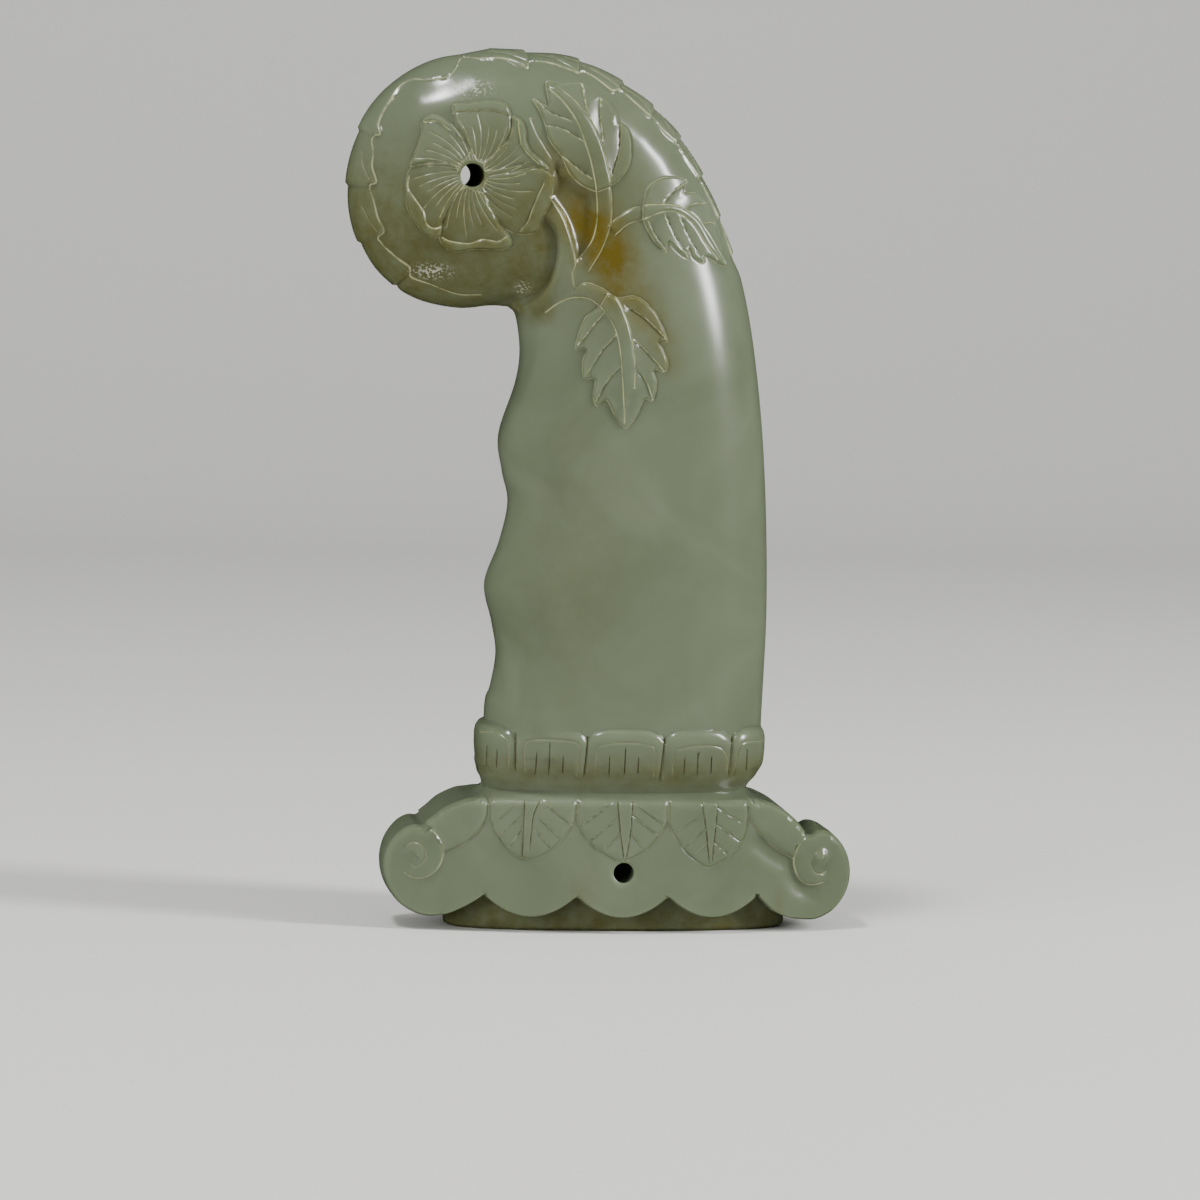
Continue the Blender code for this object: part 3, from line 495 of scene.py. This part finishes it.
def branch_form(p, height):
    """Relief of the ball's crease, the branch and the three leaves."""
    away, along, side = near_line(p, fold_line, 8)
    strength = ease(along / 2.5) * (1 - 0.35 * ease((along - 14) / 3))
    ball = side < 0
    height -= strength * np.where(ball, 0.9 * np.exp(-(away / 1.7) ** 1.3), 0.9 * np.exp(-(away / 0.35) ** 2))
    height += strength * np.where(ball, 0, 0.3 * np.exp(-((away - 1.0) / 1.1) ** 2))
    edge = spline(stem_edge)
    fork = np.vstack([edge[:-12], [(-6.8, 93.9), (-5.9, 98.5), (-5.9, 104.2), (-9.6, 106.5), (-10.8, 108.8),
                                   (-12.2, 108.6), (-11.9, 105.6)]])
    d = distance(p, np.vstack([fork, fork[:1]]), 4)
    height -= 0.75 * inside(p, fork) * ease(d / 0.9)
    for outer, ribs, veins, tip, dark_vein in leaves:
        loop = closed(outer)
        hit = inside(p, loop)
        d = np.where(hit, distance(p, loop, 4), 0)
        rib_lines = [spline(rib) for rib in ribs]
        rib = np.minimum(distance(p, rib_lines[0], 8), distance(p, rib_lines[1], 8))
        t = d / np.maximum(d + rib, 0.01)
        height += hit * (0.58 * ease(d / 0.3) - 0.9 * t * (1 - t) * np.clip((d + rib) / 2.5, 0, 1))
        for vein in veins:
            height += hit * ease(d / 0.5) * scoop(p, spline(vein), tip, 0.3, 0.8)
        strip = np.vstack([rib_lines[0], rib_lines[1][::-1]])
        height += inside(p, strip) * 0.26 * ease(distance(p, strip, 2) / 0.35)
    return height


forms.append(branch_form)

# The ridge leaves
# A row of long leaves lapped over each other runs both ways from the crown along the hilt's edge.
# Each rises to its hooked tip, where it drops to the root of the next.
ridge_edge = [(-21.4, 89.6), (-24.3, 89.6), (-26.7, 90.3), (-28.6, 91.0), (-31.3, 91.9), (-31.5, 93.2), (-33.6, 94.7),
              (-36.0, 97.0), (-35.2, 98.2), (-36.1, 100.1), (-36.7, 102.2), (-37.4, 104.4), (-36.4, 105.1),
              (-37.0, 107.2), (-36.9, 109.0), (-37.1, 111.3), (-35.9, 111.8), (-36.1, 113.2), (-35.4, 115.0),
              (-34.2, 117.0), (-33.1, 118.6), (-31.4, 119.6), (-29.4, 119.6), (-26.6, 120.1), (-25.4, 121.3),
              (-24.3, 123.0), (-22.0, 122.8), (-18.6, 122.8), (-16.4, 121.9), (-15.3, 121.5), (-15.0, 122.5),
              (-12.6, 122.5), (-9.6, 121.5), (-8.1, 121.0), (-7.3, 121.4), (-5.3, 120.2), (-3.2, 118.6), (-1.9, 118.8),
              (0.1, 117.1), (2.2, 115.1), (2.7, 115.2), (4.5, 112.9), (6.0, 111.7), (6.5, 111.3), (7.8, 109.0),
              (9.5, 106.7), (9.9, 106.3), (11.4, 103.4), (12.7, 100.8), (13.1, 100.6), (13.9, 98.2), (14.6, 96.0)]
ridge_tips = [(-31.4, 92.6), (-36.0, 97.5), (-37.2, 104.7), (-37.0, 111.7), (-24.3, 123.3), (-15.2, 122.2),
              (-8.0, 121.2), (-2.0, 118.8), (2.4, 115.3), (6.2, 111.7), (9.7, 106.7), (12.8, 100.9), (14.8, 95.5)]
CROWN_TIP = 4
ridge_lines = [[(-33.6, 117.3), (-34.6, 116.5), (-35.2, 115.7)],
               [(-38.3, 109.3), (-38.3, 107.8), (-37.9, 106.6), (-37.3, 105.4)],
               [(-38.2, 101.4), (-37.3, 99.8), (-36.3, 98.5)],
               [(-20.5, 123.8), (-18.1, 123.5), (-16.6, 123.0), (-15.4, 122.4)],
               [(-16.0, 123.9), (-12.6, 123.4), (-10.3, 122.5), (-8.5, 121.4)],
               [(-9.8, 123.1), (-6.9, 122.1), (-4.6, 120.8), (-2.5, 119.1)],
               [(-7.2, 122.6), (-5.0, 121.2), (-3.2, 120.0), (-2.4, 119.2)],
               [(-2.6, 120.1), (-0.5, 118.7), (1.2, 117.2), (2.2, 115.7)],
               [(-0.9, 119.9), (1.0, 118.3), (2.3, 116.4)],
               [(2.7, 116.6), (4.3, 114.9), (5.8, 112.4)],
               [(6.2, 112.8), (7.7, 110.8), (8.9, 108.7), (9.6, 107.1)],
               [(9.0, 109.2), (10.8, 106.2), (12.2, 103.6), (12.8, 101.3)],
               [(12.6, 103.6), (13.6, 101.2), (14.3, 98.6), (14.6, 96.4)]]
cuts.append((spline(ridge_edge, 0.25), 0.12, 0.08, 0.65, 0))
for line in ridge_lines:
    cuts.append((spline(line), 0.12, 0.14, 0.4, 0.25))


def ridge_form(p):
    """Relief of the ridge leaves, which only cuts into the stone, so the outline never grows."""
    edge = spline(ridge_edge, 0.25)
    around = side_line[::-1]
    within = inside(p, np.vstack([edge, [(16, 96), (30, 100), (20, 130), (-45, 130), (-45, 80), (-21.4, 80)]]))
    tip_run = near_line(np.array(ridge_tips), around)[1]
    crown = tip_run[CROWN_TIP]
    run = near_line(p, around)[1]
    order = np.sort(tip_run)
    after = np.searchsorted(order, run)
    below = np.clip(after - 1, 0, len(order) - 1)
    above = np.clip(after, 0, len(order) - 1)
    share = np.clip((run - order[below]) / np.maximum(order[above] - order[below], 1), 0, 1)
    share = np.where(run < crown, share, 1 - share)
    d = distance(p, edge, 5)
    zone = (p[:, 1] > 84) & (run > order[0] - 6) & (run < order[-1] + 4)
    lapped = -0.4 * share ** 1.5
    ground = -0.42 * ease(d / 0.25 + 0.3) * (1 - ease((d - 0.3) / 4))
    fade = ease((run - order[0] + 6) / 6) * ease((order[-1] + 4 - run) / 4)
    return np.where(zone, np.where(within, lapped, ground) * fade, 0)


# The outline of the front view
# It runs from the foot's right end up the back, over the crown and the ball, and down the finger side.
neck_z = np.arange(20.5, 31.6, 0.25)


def side_x(z, sign):
    """Outermost x at height z beside the collar."""
    collar = sign * collar_middle(z) + np.interp(z, COLLAR_Z, COLLAR_HALF_WIDTH)
    line = back_line if sign > 0 else finger_line[::-1]
    grip = sign * np.interp(z, line[:, 1], line[:, 0])
    return sign * np.maximum(np.where(z < 29.5, collar, 0), np.where(z > 25, grip, 0))


foot_end = np.array([(23.8, 0), (24.2, 0.15), (24.45, 0.4), (24.5, 0.9), (24.5, 1.4)])
right = np.vstack([foot_end, block_right[np.argmax(block_right[:, 0] > 24.7):],
                   np.column_stack([side_x(neck_z, 1), neck_z]), back_line[back_line[:, 1] > 31.8]])
left = np.vstack([foot_end * (-1, 1), (block_left * (-1, 1))[np.argmax(block_left[:, 0] > 24.7):],
                  np.column_stack([side_x(neck_z, -1), neck_z]), finger_line[::-1][finger_line[::-1, 1] > 31.8]])
rim = np.vstack([right, pommel_line[1:-1], left[::-1]])
foot_x = np.concatenate([np.linspace(-23.8, -11, 14)[1:-1], np.linspace(-11, 11, 12), np.linspace(11, 23.8, 14)[1:-1]])
outline = np.vstack([rim, np.column_stack([foot_x, np.zeros(len(foot_x))])])

# Points over the front view, densest along cuts, ledges and the rim
placed = [outline]
for centre, radius, count in ((HOLE, HOLE_R, 40), (RIVET, RIVET_R, 36)):
    turn = np.linspace(0, 2 * math.pi, count, endpoint=False)
    for r in (radius, radius + 0.12, radius + 0.35):
        placed.append(np.column_stack([centre[0] + r * np.cos(turn), centre[1] + r * np.sin(turn)]))


def add_points(points, spacing):
    """Keeps the new points that lie in the stone and not too close to earlier ones."""
    points = np.asarray(points)
    cell = np.round(points / (spacing * 0.5)).astype(int)
    points = points[np.sort(np.unique(cell, axis=0, return_index=True)[1])]
    points = points[inside(points, outline)]
    keep = distance(points, outline, spacing) > spacing * 0.4
    for centre, radius in ((HOLE, HOLE_R), (RIVET, RIVET_R)):
        keep &= np.hypot(points[:, 0] - centre[0], points[:, 1] - centre[1]) > radius + 0.05
    points = points[keep]
    old = np.vstack(placed)
    tree = kdtree.KDTree(len(old))
    for i, (x, z) in enumerate(old):
        tree.insert((x, z, 0), i)
    tree.balance()
    far = [tree.find((x, z, 0))[2] > spacing * 0.5 for x, z in points]
    placed.append(points[np.array(far, bool)])


rim_loop = np.vstack([outline, outline[:1]])
add_points(np.vstack([line for line, width, depth, pale, dark in cuts]), 0.2)
add_points(np.vstack(ledges), 0.16)
for d in (0.015, 0.05, 0.11, 0.2, 0.32, 0.47, 0.65):
    add_points(shifted(rim_loop, d), max(d * 0.7, 0.03))
for share in (1, -1):
    add_points(np.vstack([shifted(line, share * width) for line, width, depth, pale, dark in cuts]), 0.19)
for share in (0.4, -0.4):
    add_points(np.vstack([shifted(line, share) for line, width, depth, pale, dark in cuts]), 0.3)
for d in (0.9, 1.25, 1.7, 2.3, 3.0, 3.8):
    add_points(shifted(rim_loop, d), 0.55)
xs, zs = np.meshgrid(np.arange(-41, 35, 0.66), np.arange(0, 125, 0.57))
xs = xs + 0.33 * (np.arange(xs.shape[0]) % 2)[:, None]
grid = np.column_stack([xs.ravel(), zs.ravel()])
carved = (grid[:, 1] > 70) | (grid[:, 1] < 31)
add_points(grid[carved], 0.66)
add_points(grid[~carved & (np.round(grid[:, 1] / 0.57).astype(int) % 2 == 0)], 1.0)
flat = np.vstack(placed)

# The carved surface
# The front view is split into small triangles, lifted to the front and mirrored to the back, then every
# point moves along the plain stone's normal by the height of the carving.
ends = len(outline)
cdt = delaunay_2d_cdt([tuple(v) for v in flat], [(i, (i + 1) % ends) for i in range(ends)], [], 0, 1e-6)
flat = np.array([tuple(v) for v in cdt[0]])
tris = np.array([f for f in cdt[2] if len(f) == 3])
centre = flat[tris].mean(1)
keep = inside(centre, outline)
for middle, radius in ((HOLE, HOLE_R), (RIVET, RIVET_R)):
    keep &= np.hypot(centre[:, 0] - middle[0], centre[:, 1] - middle[1]) > radius * 0.995
tris = tris[keep]
used = np.unique(tris)
renumber = np.full(len(flat), -1)
renumber[used] = np.arange(len(used))
flat, tris = flat[used], renumber[tris]
a, b, c = flat[tris[:, 0]], flat[tris[:, 1]], flat[tris[:, 2]]
turned = (b - a)[:, 0] * (c - a)[:, 1] < (b - a)[:, 1] * (c - a)[:, 0]
tris[turned] = tris[turned][:, ::-1]

rim_away = distance(flat, rim)
on_foot = (flat[:, 1] < 1e-6) & (np.abs(flat[:, 0]) < 23.7)
shared = (rim_away < 1e-4) & ~on_foot
plain = stone_depth(flat)
plain[shared] = 0
n = len(flat)
back_index = np.where(shared, np.arange(n), np.arange(n) + n)
points = np.vstack([np.column_stack([flat[:, 0], -plain, flat[:, 1]]),
                    np.column_stack([flat[:, 0], plain, flat[:, 1]])])
faces = [tuple(t) for t in tris] + [tuple(t[::-1]) for t in back_index[tris]]
corner = np.array(faces)
facing = np.cross(points[corner[:, 1]] - points[corner[:, 0]], points[corner[:, 2]] - points[corner[:, 0]])
normals = np.zeros_like(points)
for k in range(3):
    np.add.at(normals, corner[:, k], facing)
normals[:n][shared, 1] = 0
normals /= np.maximum(np.linalg.norm(normals, axis=1, keepdims=True), 1e-12)

height = np.zeros(n)
for form in forms:
    height = form(flat, height)
# The pale in the cuts is partly dust and frosted stone, partly painted highlight along the cut edges; the dark is dust
pale_cut_and_highlight = np.zeros(n)
dark_dust = np.zeros(n)
for line, width, depth, pale, dark in cuts:
    share = np.clip(1 - distance(flat, line, width) / width, 0, 1)
    height -= depth * share
    pale_cut_and_highlight = np.maximum(pale_cut_and_highlight, pale * share)
    dark_dust = np.maximum(dark_dust, dark * share)
for middle, radius in ((HOLE, HOLE_R), (RIVET, RIVET_R)):
    r = np.hypot(flat[:, 0] - middle[0], flat[:, 1] - middle[1])
    height -= 0.2 * (1 - ease((r - radius) / 0.3))
height *= ease(rim_away / np.where(flat[:, 1] < 21, 0.4, 0.7))
height += ridge_form(flat)
height *= ease(flat[:, 1] / 1.5)
moved = points + normals * np.concatenate([height, height])[:, None]
# The worked faces keep within the full width from ball to block end
moved[:, 0] = np.clip(moved[:, 0], -40.08, 33.58)
moved[:n][on_foot] = points[:n][on_foot]
moved[n:][on_foot] = points[n:][on_foot]
verts = [tuple(v) for v in moved]


def add_vert(x, y, z):
    """One more vertex of the stone."""
    verts.append((x, y, z))
    return len(verts) - 1


def hole_ring(centre, radius):
    """Rim vertices of a round hole, in turn."""
    r = np.hypot(flat[:, 0] - centre[0], flat[:, 1] - centre[1])
    index = np.flatnonzero(np.abs(r - radius) < 1e-3)
    return index[np.argsort(np.arctan2(flat[index, 1] - centre[1], flat[index, 0] - centre[0]))]


def bore(near, far):
    """Wall between two rings of the same count."""
    for i in range(len(near)):
        k = (i + 1) % len(near)
        faces.append((int(near[i]), int(near[k]), int(far[k]), int(far[i])))


# The thong hole, drilled right through the pommel
hole = hole_ring(HOLE, HOLE_R)
last = hole
for share in (0.06, 0.3, 0.7, 0.94):
    row = [add_vert(verts[i][0], verts[i][1] * (1 - 2 * share), verts[i][2]) for i in hole]
    bore(last, row)
    last = row
bore(last, hole + n)

# The tang slot
# A flat slot sunk 44 mm up from the foot for the blade's tang, crossed by the rivet hole.
SLOT_HALF_DEPTH = 2.5
SLOT_HALF_WIDTH = 11.0
SLOT_TOP = 44.0
row = np.flatnonzero(on_foot | (shared & (flat[:, 1] < 1e-6)))
row = row[np.argsort(flat[row, 0])]
slot_row = [int(i) for i in row if abs(flat[i, 0]) < SLOT_HALF_WIDTH + 0.01]
front_edge = {i: add_vert(flat[i, 0], -SLOT_HALF_DEPTH, 0) for i in slot_row}
back_edge = {i: add_vert(flat[i, 0], SLOT_HALF_DEPTH, 0) for i in slot_row}
for i, k in zip(row[:-1].tolist(), row[1:].tolist()):
    if i in front_edge and k in front_edge:
        faces.append((i, front_edge[i], front_edge[k], k))
        faces.append((n + i, n + k, back_edge[k], back_edge[i]))
        continue
    loop = [i, k]
    if k in front_edge:
        loop += [front_edge[k], back_edge[k]]
    loop += [int(back_index[k]), int(back_index[i])]
    if i in front_edge:
        loop += [back_edge[i], front_edge[i]]
    faces.append(tuple(v for j, v in enumerate(loop) if v != loop[j - 1])[::-1])
wall = [(x, 0.0) for x in flat[slot_row, 0]] + [(SLOT_HALF_WIDTH, z) for z in (9, 20, 32, SLOT_TOP)] + [
    (x, SLOT_TOP) for x in (7, 3, 0, -3, -7)] + [(-SLOT_HALF_WIDTH, z) for z in (SLOT_TOP, 32, 20, 9)]
rivet = hole_ring(RIVET, RIVET_R)
ends = len(wall)
wall_edges = [(i, (i + 1) % ends) for i in range(ends)] + [
    (ends + i, ends + (i + 1) % len(rivet)) for i in range(len(rivet))]
cdt = delaunay_2d_cdt(wall + [tuple(flat[i]) for i in rivet], wall_edges, [], 0, 1e-6)
wall_at = np.array([tuple(v) for v in cdt[0]])
wall_index = {}
for sign, low_edge in ((-1, front_edge), (1, back_edge)):
    index = []
    for x, z in wall_at:
        match = [low_edge[i] for i in slot_row if z < 1e-6 and abs(flat[i, 0] - x) < 1e-6]
        index.append(match[0] if match else add_vert(x, sign * SLOT_HALF_DEPTH, z))
    wall_index[sign] = index
    for f in cdt[2]:
        middle = wall_at[list(f)].mean(0)
        if math.hypot(middle[0] - RIVET[0], middle[1] - RIVET[1]) > RIVET_R * 0.99:
            f = [index[v] for v in f]
            faces.append(tuple(f if sign > 0 else f[::-1]))
place_of = {tuple(np.round(v, 5)): i for i, v in enumerate(wall_at)}
border = [place_of[tuple(np.round(v, 5))] for v in wall[len(slot_row) - 1:] + wall[:1]]
for i, k in zip(border[:-1], border[1:]):
    faces.append((wall_index[-1][i], wall_index[1][i], wall_index[1][k], wall_index[-1][k]))
round_hole = [place_of[tuple(np.round(flat[i], 5))] for i in rivet]
bore(rivet, [wall_index[-1][i] for i in round_hole])
bore([wall_index[1][i] for i in round_hole], rivet + n)

# Where the stone is stained, olive or frosted, noted on its points for the material; the olive tint is partly painted
# shade, on the foot under the block and on the lower ball beside the crease
stain_path = spline([(-12.4, 109.4), (-10.4, 105.2), (-8.3, 101.4), (-5.5, 98.6), (-3.8, 95.4), (-2.5, 91.9),
                     (0.0, 89.0), (3.2, 84.5), (4.6, 80.5)])
away, along, side = near_line(flat, stain_path, 12)
along = along / near_line(stain_path[-1:], stain_path)[1][0]
stain_width = np.interp(along, (0, 0.2, 0.35, 0.55, 0.7, 1), (1.6, 3.0, 3.6, 3.4, 3.2, 2.2))
stain_level = np.interp(along, (0, 0.15, 0.3, 0.55, 0.68, 1), (0.35, 0.6, 1.0, 1.0, 0.55, 0.3))
stain = stain_level * np.exp(-(away / stain_width) ** 2)
x, z = flat[:, 0], flat[:, 1]
block_only = block_depth(flat)
# The foot below the block is tinted olive: partly the stone's own tone, partly painted shade under the block
olive_tint_and_shade = np.where((z < 6) & (block_only < plain - 0.05), 0.7, 0)
olive_tint_and_shade = np.maximum(olive_tint_and_shade, 0.55 * np.exp(-((z - 22.8) / 2.6) ** 2) * (block_only < plain - 0.05))
# The ball turns darker olive towards its bottom on its side of the crease: partly the stone's own tone, partly painted
# shade
olive_tint_and_shade = np.maximum(olive_tint_and_shade, 0.7 * ease((119 - z) / 22) * ease((-9.5 - x) / 3) * ease((z - 84) / 4))
olive_tint_and_shade = np.maximum(olive_tint_and_shade, 0.5 * np.exp(-((x + 21) / 5) ** 2 - ((z - 110.5) / 4) ** 2))
olive_tint_and_shade = np.maximum(olive_tint_and_shade, 0.45 * np.exp(-((x + 6) / 9) ** 2 - ((z - 100) / 14) ** 2))
olive_tint_and_shade = np.maximum(olive_tint_and_shade, 0.22 * np.exp(-((x + 8) / 8) ** 2 - ((z - 52) / 22) ** 2))
frost = np.exp(-((x + 28.4) / 2.2) ** 2 - ((z - 92.8) / 0.8) ** 2)
frost = np.maximum(frost, 0.8 * np.exp(-((x + 23.5) / 2.4) ** 2 - ((z - 118.4) / 1.0) ** 2))
frost = np.maximum(frost, 0.7 * np.exp(-((x + 15.6) / 0.8) ** 2 - ((z - 90.6) / 0.8) ** 2))
block_stain = np.exp(-((x - 22.6) / 0.7) ** 2 - ((z - 4.6) / 1.6) ** 2) + 0.6 * np.exp(
    -((x + 5.5) / 2.0) ** 2 - ((z - 6.0) / 3.0) ** 2)
stain = np.maximum(stain, 0.3 * block_stain)

mesh = bpy.data.meshes.new("carved jade")
mesh.from_pydata([((x + SHIFT_X) * MM, y * MM, z * MM) for x, y, z in verts], [], faces)
# The walls of the holes and the tang slot take a fixed olive tint and a little russet
for name, values, behind, in_holes in (("pale_cut_and_highlight", pale_cut_and_highlight, 0.8, 0), ("dark_dust", dark_dust, 0.6, 0),
                                       ("stain", stain, 0.5, 0.3), ("olive_tint_and_shade", olive_tint_and_shade, 1.0, 0.5),
                                       ("frost", frost, 0.0, 0)):
    layer = mesh.attributes.new(name, "FLOAT", "POINT")
    full = np.full(len(verts), in_holes, np.float32)
    full[:n] = values
    full[n:2 * n] = values * behind
    layer.data.foreach_set("value", full)
bm = bmesh.new()
bm.from_mesh(mesh)
bmesh.ops.delete(bm, geom=[v for v in bm.verts if not v.link_faces], context="VERTS")
bmesh.ops.recalc_face_normals(bm, faces=bm.faces)
bm.to_mesh(mesh)
bm.free()
mesh.shade_smooth()
mesh.set_sharp_from_angle(angle=math.radians(50))
jade = bpy.data.objects.new("jade_hilt_carved", mesh)
bpy.context.scene.collection.objects.link(jade)
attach(jade, "root")
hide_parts("jade_hilt")


# Nephrite jade, hand polished
# Pale grey-green and cloudy; light sinks in a few millimetres, so edges glow softly under a clear gloss.
# Iron has stained the crook of the branch russet, and dust and wax have settled in the cuts; the pale in the cuts is
# partly painted highlight along their edges.
def linear(code):
    """Linear colour from an sRGB hex code."""
    v = [int(code[i:i + 2], 16) / 255 for i in (1, 3, 5)]
    return [c / 12.92 if c <= 0.04045 else ((c + 0.055) / 1.055) ** 2.4 for c in v] + [1]


NEPHRITE = linear("#6c7560")
NEPHRITE_CLOUD = linear("#616a54")
# Olive of the stone, also used as painted shade on the foot and the lower ball
OLIVE_TINT_AND_SHADE = linear("#514f2a")
RUSSET = linear("#5a4e17")
# Pale of the cuts: dust and frosted stone, with painted highlight along their edges
PALE_CUT_AND_HIGHLIGHT = linear("#b9b992")
DARK_DIRT = linear("#3a3014")
FROST = linear("#b4b6a4")
stone = bpy.data.materials.new("Nephrite jade, hand polished")
stone.use_nodes = True
tree = stone.node_tree
surface = tree.nodes["Principled BSDF"]


def add(kind, links, **settings):
    """Adds a node with its settings, and links or sets its inputs by name or number."""
    node = tree.nodes.new(kind)
    for name, value in settings.items():
        setattr(node, name, value)
    for name, value in links.items():
        if isinstance(value, bpy.types.NodeSocket):
            tree.links.new(value, node.inputs[name])
        else:
            node.inputs[name].default_value = value
    return node


place = add("ShaderNodeTexCoord", {}).outputs["Object"]
cloud = add("ShaderNodeTexNoise", {"Vector": place, "Scale": 45.0, "Detail": 3.0, "Roughness": 0.55,
                                   "Distortion": 0.8})
clouded = add("ShaderNodeMapRange", {"Value": cloud.outputs["Fac"], "From Min": 0.36, "From Max": 0.66})
colour = add("ShaderNodeMix", {0: clouded.outputs["Result"], 6: NEPHRITE, 7: NEPHRITE_CLOUD},
             data_type="RGBA").outputs[2]
ragged = add("ShaderNodeTexNoise", {"Vector": place, "Scale": 420.0, "Detail": 5.0, "Roughness": 0.65})
uneven = add("ShaderNodeMapRange", {"Value": ragged.outputs["Fac"], "From Min": 0.3, "From Max": 0.7,
                                    "To Min": 0.55, "To Max": 1.35})
for name, tone in (("olive_tint_and_shade", OLIVE_TINT_AND_SHADE), ("stain", RUSSET)):
    level = add("ShaderNodeAttribute", {}, attribute_name=name).outputs["Fac"]
    patchy = add("ShaderNodeMath", {0: level, 1: uneven.outputs["Result"]}, operation="MULTIPLY")
    share = add("ShaderNodeMath", {0: patchy.outputs[0], 1: 1.0}, operation="MINIMUM")
    colour = add("ShaderNodeMix", {0: share.outputs[0], 6: colour, 7: tone}, data_type="RGBA").outputs[2]
grain = add("ShaderNodeTexNoise", {"Vector": place, "Scale": 2600.0, "Detail": 2.0})
frosted = add("ShaderNodeMath", {0: add("ShaderNodeAttribute", {}, attribute_name="frost").outputs["Fac"],
                                 1: add("ShaderNodeMapRange", {"Value": grain.outputs["Fac"], "From Min": 0.5,
                                                               "From Max": 0.6}).outputs["Result"]},
              operation="MULTIPLY")
colour = add("ShaderNodeMix", {0: frosted.outputs[0], 6: colour, 7: FROST}, data_type="RGBA").outputs[2]
worn = add("ShaderNodeTexNoise", {"Vector": place, "Scale": 700.0, "Detail": 2.0})
wear = add("ShaderNodeMapRange", {"Value": worn.outputs["Fac"], "From Min": 0.36, "From Max": 0.56,
                                  "To Min": 0.35, "To Max": 1.0})
# Pale in the cuts, partly painted highlight, and dark dust, both patchy where worn
for name, tone in (("pale_cut_and_highlight", PALE_CUT_AND_HIGHLIGHT), ("dark_dust", DARK_DIRT)):
    level = add("ShaderNodeAttribute", {}, attribute_name=name).outputs["Fac"]
    packed = add("ShaderNodeMapRange", {"Value": level, "From Min": 0.1, "From Max": 0.85})
    left_in = add("ShaderNodeMath", {0: packed.outputs["Result"], 1: wear.outputs["Result"]}, operation="MULTIPLY")
    colour = add("ShaderNodeMix", {0: left_in.outputs[0], 6: colour, 7: tone}, data_type="RGBA").outputs[2]
tree.links.new(colour, surface.inputs["Base Color"])
matt = add("ShaderNodeMapRange", {"Value": frosted.outputs[0], "To Min": 0.23, "To Max": 0.55})
tree.links.new(matt.outputs["Result"], surface.inputs["Roughness"])
scratch = add("ShaderNodeBump", {"Height": grain.outputs["Fac"], "Strength": 0.05, "Distance": 0.00005})
tree.links.new(scratch.outputs["Normal"], surface.inputs["Normal"])
surface.inputs["IOR"].default_value = 1.61
surface.inputs["Subsurface Weight"].default_value = 0.6
surface.inputs["Subsurface Radius"].default_value = (1.0, 1.15, 0.7)
surface.inputs["Subsurface Scale"].default_value = 0.003
mesh.materials.append(stone)

# The studio
# A pale matt card that curves up behind, a soft box above, a tall soft box on the right and a fill.
floor_mesh = bpy.data.meshes.new("floor")
profile = [(-1.6, 0.0), (0.7, 0.0)] + [(0.7 + 0.5 * math.sin(a), 0.5 - 0.5 * math.cos(a))
                                       for a in np.linspace(0.1, math.pi / 2, 14)] + [(1.2, 2.2)]
m = len(profile)
floor_mesh.from_pydata([(x, y, z) for x in (-2.2, 2.2) for y, z in profile], [],
                       [(i, i + m, i + m + 1, i + 1) for i in range(m - 1)])
floor_mesh.shade_smooth()
floor = bpy.data.objects.new("studio_floor", floor_mesh)
bpy.context.scene.collection.objects.link(floor)
card = bpy.data.materials.new("Card, matt painted")
card.use_nodes = True
card.node_tree.nodes["Principled BSDF"].inputs["Base Color"].default_value = linear("#e2e1de")
card.node_tree.nodes["Principled BSDF"].inputs["Roughness"].default_value = 0.8
floor_mesh.materials.append(card)
floor.visible_glossy = False


def soft_box(name, place, aim, size, power):
    """Rectangular soft light that faces its aim."""
    data = bpy.data.lights.new(name, "AREA")
    data.shape = "RECTANGLE"
    data.size, data.size_y = size
    data.energy = power
    lamp = bpy.data.objects.new(name, data)
    bpy.context.scene.collection.objects.link(lamp)
    lamp.location = place
    lamp.rotation_euler = (Vector(aim) - Vector(place)).to_track_quat("-Z", "Y").to_euler()
    return lamp


soft_box("box_top", (-0.3, -0.25, 0.95), (0, 0, 0.06), (0.13, 0.13), 5)
soft_box("box_right", (0.72, -0.32, 0.45), (0, 0, 0.08), (0.14, 0.45), 9)
fill = soft_box("box_left", (-0.7, -0.6, 0.2), (0, 0, 0.04), (0.5, 0.5), 6)
fill.visible_glossy = False
world = bpy.data.worlds.new("studio")
bpy.context.scene.world = world
world.use_nodes = True
world.node_tree.nodes["Background"].inputs["Color"].default_value = linear("#dcdddd")
world.node_tree.nodes["Background"].inputs["Strength"].default_value = 0.6
world.cycles_visibility.glossy = False

# The camera
# It stands a little left of the hilt's face and above its middle, turned slightly, as in the photo.
yaw, pitch, roll = math.radians(7.0), math.radians(4.81), math.radians(1.2)
ahead = np.array([math.sin(yaw) * math.cos(pitch), math.cos(yaw) * math.cos(pitch), -math.sin(pitch)])
level = np.array([math.cos(yaw), -math.sin(yaw), 0])
up = np.cross(level, ahead)
across = math.cos(roll) * level + math.sin(roll) * up
upward = -math.sin(roll) * level + math.cos(roll) * up
spot = np.array([-0.09056 + SHIFT_X * MM, -0.71429, 0.107])
lens = bpy.data.cameras.new("camera")
lens.lens = 152.3
lens.sensor_width = 36
lens.clip_start = 0.05
camera = bpy.data.objects.new("camera", lens)
bpy.context.scene.collection.objects.link(camera)
camera.matrix_world = Matrix([[across[i], upward[i], -ahead[i], spot[i]] for i in range(3)] + [[0, 0, 0, 1]])
bpy.context.scene.camera = camera
